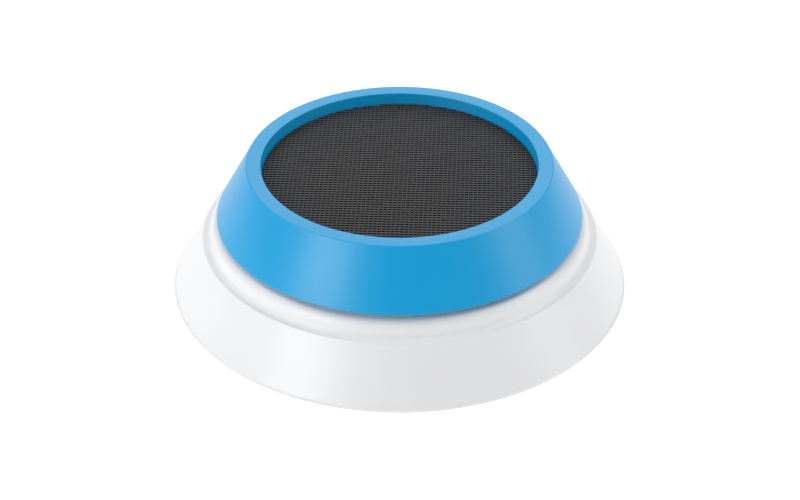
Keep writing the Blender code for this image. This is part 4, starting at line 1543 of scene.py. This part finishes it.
@dataclass
class Rocker(Assembly):
    """The mains rocker, tilted to its off side, with its two plain marks."""

    body: str = "rocker"
    tilt: float = 7.0  # degrees
    pivot: float = 1.4 * MM  # from the panel's face in to the axis
    half: Point = (4.7 * MM, 2.9 * MM)
    low: float = -2.0 * MM
    high: float = 3.9 * MM
    dip: float = 14.0 * MM  # the radius of the hollow that a finger finds
    dip_at: float = 16.9 * MM
    mark_at: float = 3.0 * MM
    mark_half: Point = (0.22 * MM, 1.1 * MM)
    loop_inner: float = 0.75 * MM

    def build(self) -> list[Piece]:
        """Build the paddle and its marks.

        Returns:
            The pieces.
        """
        at = (RearPanel.rocker_x, RearPanel.panel - self.pivot, RearPanel.middle)
        turn = (0, 0, self.tilt)
        across, up = self.half
        paddle = block("rocker_paddle", (-across, self.low, -up), (across, self.high, up))
        dip = rod("dip", self.dip, -up - 1.1 * MM, up + 1.1 * MM, 0, 160)
        cut(paddle, moved(dip, (0, self.dip_at, 0)))
        edge = {"limit_method": "ANGLE", "angle_limit": math.radians(40)}
        apply_modifier(paddle, "BEVEL", width=0.3 * MM, segments=3, **edge)
        self.settle(moved(paddle, at, turn), BLACK_ABS, "black_plastic", "power_rocker")
        thin, tall = self.mark_half
        bar = block("mark_bar", (-thin, -0.15 * MM, -tall), (thin, 0.1 * MM, tall), 0.05 * MM, 1)
        face = self.face_at(self.mark_at)
        slope = self.slope_at(self.mark_at)
        moved(bar, (-self.mark_at, face, 0), (0, 0, -slope))
        corners = [
            (tall, 0.1 * MM, 0.05 * MM),
            (tall, -0.15 * MM, 0.0),
            (self.loop_inner, -0.15 * MM, 0.0),
            (self.loop_inner, 0.1 * MM, 0.05 * MM),
        ]
        loop = turned("mark_loop", corners, 48, 2)
        faced_back(loop, ORIGIN)
        moved(loop, (self.mark_at, face, 0), (0, 0, slope))
        marks = joined([bar, loop])
        marks.name = "rocker_marks"
        self.settle(moved(marks, at, turn), MARK_PAINT, "white_abs")
        return self.pieces

    def face_at(self, x: float) -> float:
        """The height of the hollow face over the paddle's axis, at this distance from its middle."""
        return self.dip_at - math.sqrt(self.dip**2 - x**2)

    def slope_at(self, x: float) -> float:
        """The hollow face's slope there, in degrees."""
        return math.degrees(math.asin(x / self.dip))


# ---------------------------------------------------------------- inner drive


@dataclass
class Suspension(Assembly):
    """The guide bolts that the drive slides on, and the springs round them."""

    circle: float = Underside.bolt_circle
    angles: tuple[float, ...] = Underside.bolt_angles
    bolt: float = 2.0 * MM
    bolt_head: float = 4.0 * MM
    bolt_seat: float = 17.9 * MM  # the height of the seat under its head
    bolt_low: float = 3.4 * MM
    shoulder: float = 6.5 * MM  # the height where its thread ends
    wire: float = 0.45 * MM
    coil: float = 3.4 * MM
    turns: float = 4.5
    steps: int = 32  # stretches in a turn of a spring
    low: float = 5.9 * MM
    high: float = 14.0 * MM
    slack: float = 0.05 * MM  # at each end of a spring
    travel: float = 0.8 * MM

    def build(self) -> list[Piece]:
        """Build the bolts and the springs.

        Returns:
            The pieces.
        """
        bolt = Screw(
            head=self.bolt_head,
            head_low=-self.bolt_seat - 2 * MM,
            head_high=-self.bolt_seat,
            shank=self.bolt,
            top=-self.bolt_low,
            pitch=0.7 * MM,
            drive=Drive.HEX,
            plain=-self.shoulder,
        ).build("bolt")
        moved(bolt, (0, 0, 0), (180, 0, 0))
        spring = self.spring()
        for number, angle in enumerate(self.angles, 1):
            place = around(self.circle, angle)
            twin = copied(bolt, f"shoulder_bolt_{number}", place)
            self.settle(twin, ZINC, "screw_steel", f"guide_bolt_{number}")
            coil = copied(spring, f"coil_spring_{number}", place)
            self.settle(coil, SPRING_WIRE, "spring_steel", f"press_spring_{number}", crease=60)
            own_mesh(coil)
        bpy.data.objects.remove(bolt)
        bpy.data.objects.remove(spring)
        return self.pieces

    def spring(self) -> Piece:
        """Make one spring at the origin, from a ring of wire section drawn along a helix.

        Returns:
            The piece.
        """
        bpy.ops.object.select_all(action="DESELECT")
        bpy.ops.mesh.primitive_circle_add(vertices=12, radius=self.wire)
        spring = bpy.context.object
        moved(spring, (self.coil, 0, self.low + self.wire + self.slack), (90, 0, 0))
        rise = self.high - self.low - 2 * (self.wire + self.slack)
        steps = round(self.steps * self.turns)
        settings = {
            "angle": math.tau * self.turns,
            "screw_offset": rise,
            "steps": steps,
            "render_steps": steps,
            "use_merge_vertices": False,
            "use_smooth_shade": True,
        }
        apply_modifier(spring, "SCREW", **settings)
        with editing(spring):
            bpy.ops.mesh.select_mode(type="EDGE")
            bpy.ops.mesh.select_all(action="DESELECT")
            bpy.ops.mesh.select_non_manifold()
            bpy.ops.mesh.edge_face_add()
            tidy()
        return spring


@dataclass
class Carriage(Assembly):
    """The floating plate that carries the motor and the idlers."""

    body: str = "drive_carriage"

    def build(self) -> list[Piece]:
        """Dress the plate and what is fixed to it.

        Returns:
            The pieces.
        """
        axis = Vector((0, 0, 0.02))
        self.dress(TURNED_ALUMINIUM, "chassis_plate", "motor_mount", centre=axis)
        self.dress(NYLON, "guide_bush_1", "guide_bush_2", "guide_bush_3")
        self.dress(BRASS, "idler_bush_1", "idler_bush_2", "idler_bush_3")
        self.dress(TURNED_STEEL, "motor_bearing_lower", "motor_bearing_upper", centre=axis)
        self.dress(COPPER, "motor_stator")
        self.dress(ZINC, "motor_screw_1", "motor_screw_2", "motor_screw_3")
        return self.pieces


@dataclass
class Crank(Assembly):
    """What the motor turns: shaft, rotor, flywheel and counterweight."""

    body: str = "crank"

    def build(self) -> list[Piece]:
        """Dress the turning pieces.

        Returns:
            The pieces.
        """
        axis = Vector((0, 0, 0.03))
        self.dress(TURNED_STEEL, "motor_shaft", "rotor_bell", "flywheel", centre=axis)
        self.dress(FERRITE, "magnet_ring")
        self.dress(BRASS, "counterweight", centre=axis)
        self.dress(ZINC, "counterweight_screw_1", "counterweight_screw_2")
        return self.pieces


@dataclass
class Platform(Assembly):
    """The plate under the dish, its bearing and its screws."""

    body: str = "head"

    def build(self) -> list[Piece]:
        """Dress the plate, the bearing and the screws.

        Returns:
            The pieces.
        """
        axis = HEAD_SHIFT + UP * 0.04
        self.dress(TURNED_ALUMINIUM, "platform_plate", centre=axis)
        self.dress(TURNED_STEEL, "platform_bearing", centre=axis)
        self.dress(ZINC, "platform_screw_1", "platform_screw_2", "platform_screw_3")
        return self.pieces


@dataclass
class Idlers(Assembly):
    """The three small cranks that keep the head from turning."""

    def build(self) -> list[Piece]:
        """Dress the cranks.

        Returns:
            The pieces.
        """
        self.dress(TURNED_STEEL, "idler_crank_1", "idler_crank_2", "idler_crank_3")
        return self.pieces


@dataclass
class Electronics(Assembly):
    """The control board, its capacitor, and the switch that the pressed drive closes."""

    def build(self) -> list[Piece]:
        """Dress the board and what stands on it.

        Returns:
            The pieces.
        """
        self.dress(BOARD, "control_board")
        self.dress(EPOXY, "smoothing_capacitor", "microswitch")
        self.dress(BRASS, "switch_plunger")
        return self.pieces


# ---------------------------------------------------------------- studio


LAMP_AIM = Vector((0, 0, 0.03))


@dataclass(frozen=True)
class Softbox:
    """A square lamp that faces the object.

    Args:
        name: Its name.
        place: Where it hangs.
        size: Its side.
        power: Its power, in watts.
    """

    name: str
    place: Corner
    size: float
    power: float

    def build(self) -> None:
        """Hang the lamp and aim it at the middle of the object."""
        lamp = bpy.data.lights.new(self.name, "AREA")
        lamp.shape = "SQUARE"
        lamp.size = self.size
        lamp.energy = self.power
        holder = bpy.data.objects.new(self.name, lamp)
        bpy.context.scene.collection.objects.link(holder)
        holder.location = self.place
        holder.rotation_euler = (LAMP_AIM - Vector(self.place)).to_track_quat("-Z", "Y").to_euler()


@dataclass
class Studio:
    """A pale floor, a bright room, soft lamps and the camera."""

    tilt: float = math.radians(33.483)  # the camera's angle above the horizon
    distance: float = 0.7602
    aim: Vector = Vector((0.00014, 0, 0.011584))
    lens: float = 96.69  # millimetres, on a 36 mm sensor
    room: float = 0.31
    room_front: float = 0.155  # darker, so that the front of the skirt stays a deep blue
    front_edges: Point = (-0.9, -0.2)  # where the dark front starts and ends, along a unit sphere's Y
    floor_size: float = 6.0
    floor_glow: float = 0.96
    softboxes: tuple[Softbox, ...] = (
        Softbox("key_softbox", (-0.68, -0.62, 0.36), 0.5, 3.4),
        Softbox("side_softbox", (0.9, -0.2, 0.24), 0.4, 1.0),
        Softbox("left_softbox", (-0.8, 0.05, 0.75), 0.6, 2.1),
        Softbox("right_softbox", (0.8, 0.05, 0.75), 0.6, 3.4),
        Softbox("top_softbox", (-0.1, -0.1, 1.0), 0.9, 1.8),
        Softbox("rear_softbox", (0.0, 0.95, 0.66), 0.8, 2.7),
    )

    def build(self) -> None:
        """Set up the room, the floor, the lamps and the camera."""
        self.build_room()
        self.build_floor()
        for softbox in self.softboxes:
            softbox.build()
        self.build_camera()
        bpy.context.scene.view_settings.view_transform = "Standard"

    def build_room(self) -> None:
        """Light the scene from all round, and less from the front."""
        world = bpy.data.worlds.new("bright_room")
        world.use_nodes = True
        background = world.node_tree.nodes["Background"]
        background.inputs["Color"].default_value = (1, 1, 1, 1)
        tree = world.node_tree
        where = add_node(tree, "ShaderNodeTexCoord").outputs["Generated"]
        depth = add_node(tree, "ShaderNodeSeparateXYZ", {"Vector": where}).outputs["Y"]
        start, end = self.front_edges
        limits = {"Value": depth, "From Min": start, "From Max": end}
        levels = {"To Min": self.room_front, "To Max": self.room}
        glow = add_node(tree, "ShaderNodeMapRange", limits | levels).outputs["Result"]
        tree.links.new(glow, background.inputs["Strength"])
        bpy.context.scene.world = world

    def build_floor(self) -> None:
        """Lay a large pale floor that glows a little, so that it stays white under the lamps."""
        bpy.ops.object.select_all(action="DESELECT")
        bpy.ops.mesh.primitive_plane_add(size=self.floor_size)
        floor = bpy.context.object
        floor.name = "studio_floor"
        paper = bpy.data.materials.new("white_paper")
        paper.use_nodes = True
        shader = paper.node_tree.nodes["Principled BSDF"]
        shader.inputs["Base Color"].default_value = linear("#808080")
        shader.inputs["Roughness"].default_value = 0.9
        shader.inputs["Specular IOR Level"].default_value = 0.1
        shader.inputs["Emission Color"].default_value = (1, 1, 1, 1)
        shader.inputs["Emission Strength"].default_value = self.floor_glow
        floor.data.materials.append(paper)

    def build_camera(self) -> None:
        """Set the camera in front of the object, looking down on it."""
        data = bpy.data.cameras.new("camera")
        data.sensor_width = 36
        data.lens = self.lens
        data.clip_start = 0.01
        camera = bpy.data.objects.new("camera", data)
        bpy.context.scene.collection.objects.link(camera)
        back = Vector((0, -math.cos(self.tilt), math.sin(self.tilt)))
        camera.location = self.aim + back * self.distance
        camera.rotation_euler = (math.pi / 2 - self.tilt, 0, 0)
        bpy.context.scene.camera = camera


def main() -> None:
    """Build every sub-assembly in order and report its pieces."""
    logging.basicConfig(level=logging.INFO, format="%(name)s: %(message)s")
    Studio().build()
    assemblies = (
        Housing,
        Underside,
        Head,
        RearPanel,
        Dial,
        Rocker,
        Suspension,
        Carriage,
        Crank,
        Platform,
        Idlers,
        Electronics,
    )
    for kind in assemblies:
        for piece in kind().build():
            log.info("%s: %s, %d faces", kind.__name__, piece.name, len(piece.data.polygons))


if __name__ == "__main__":
    main()
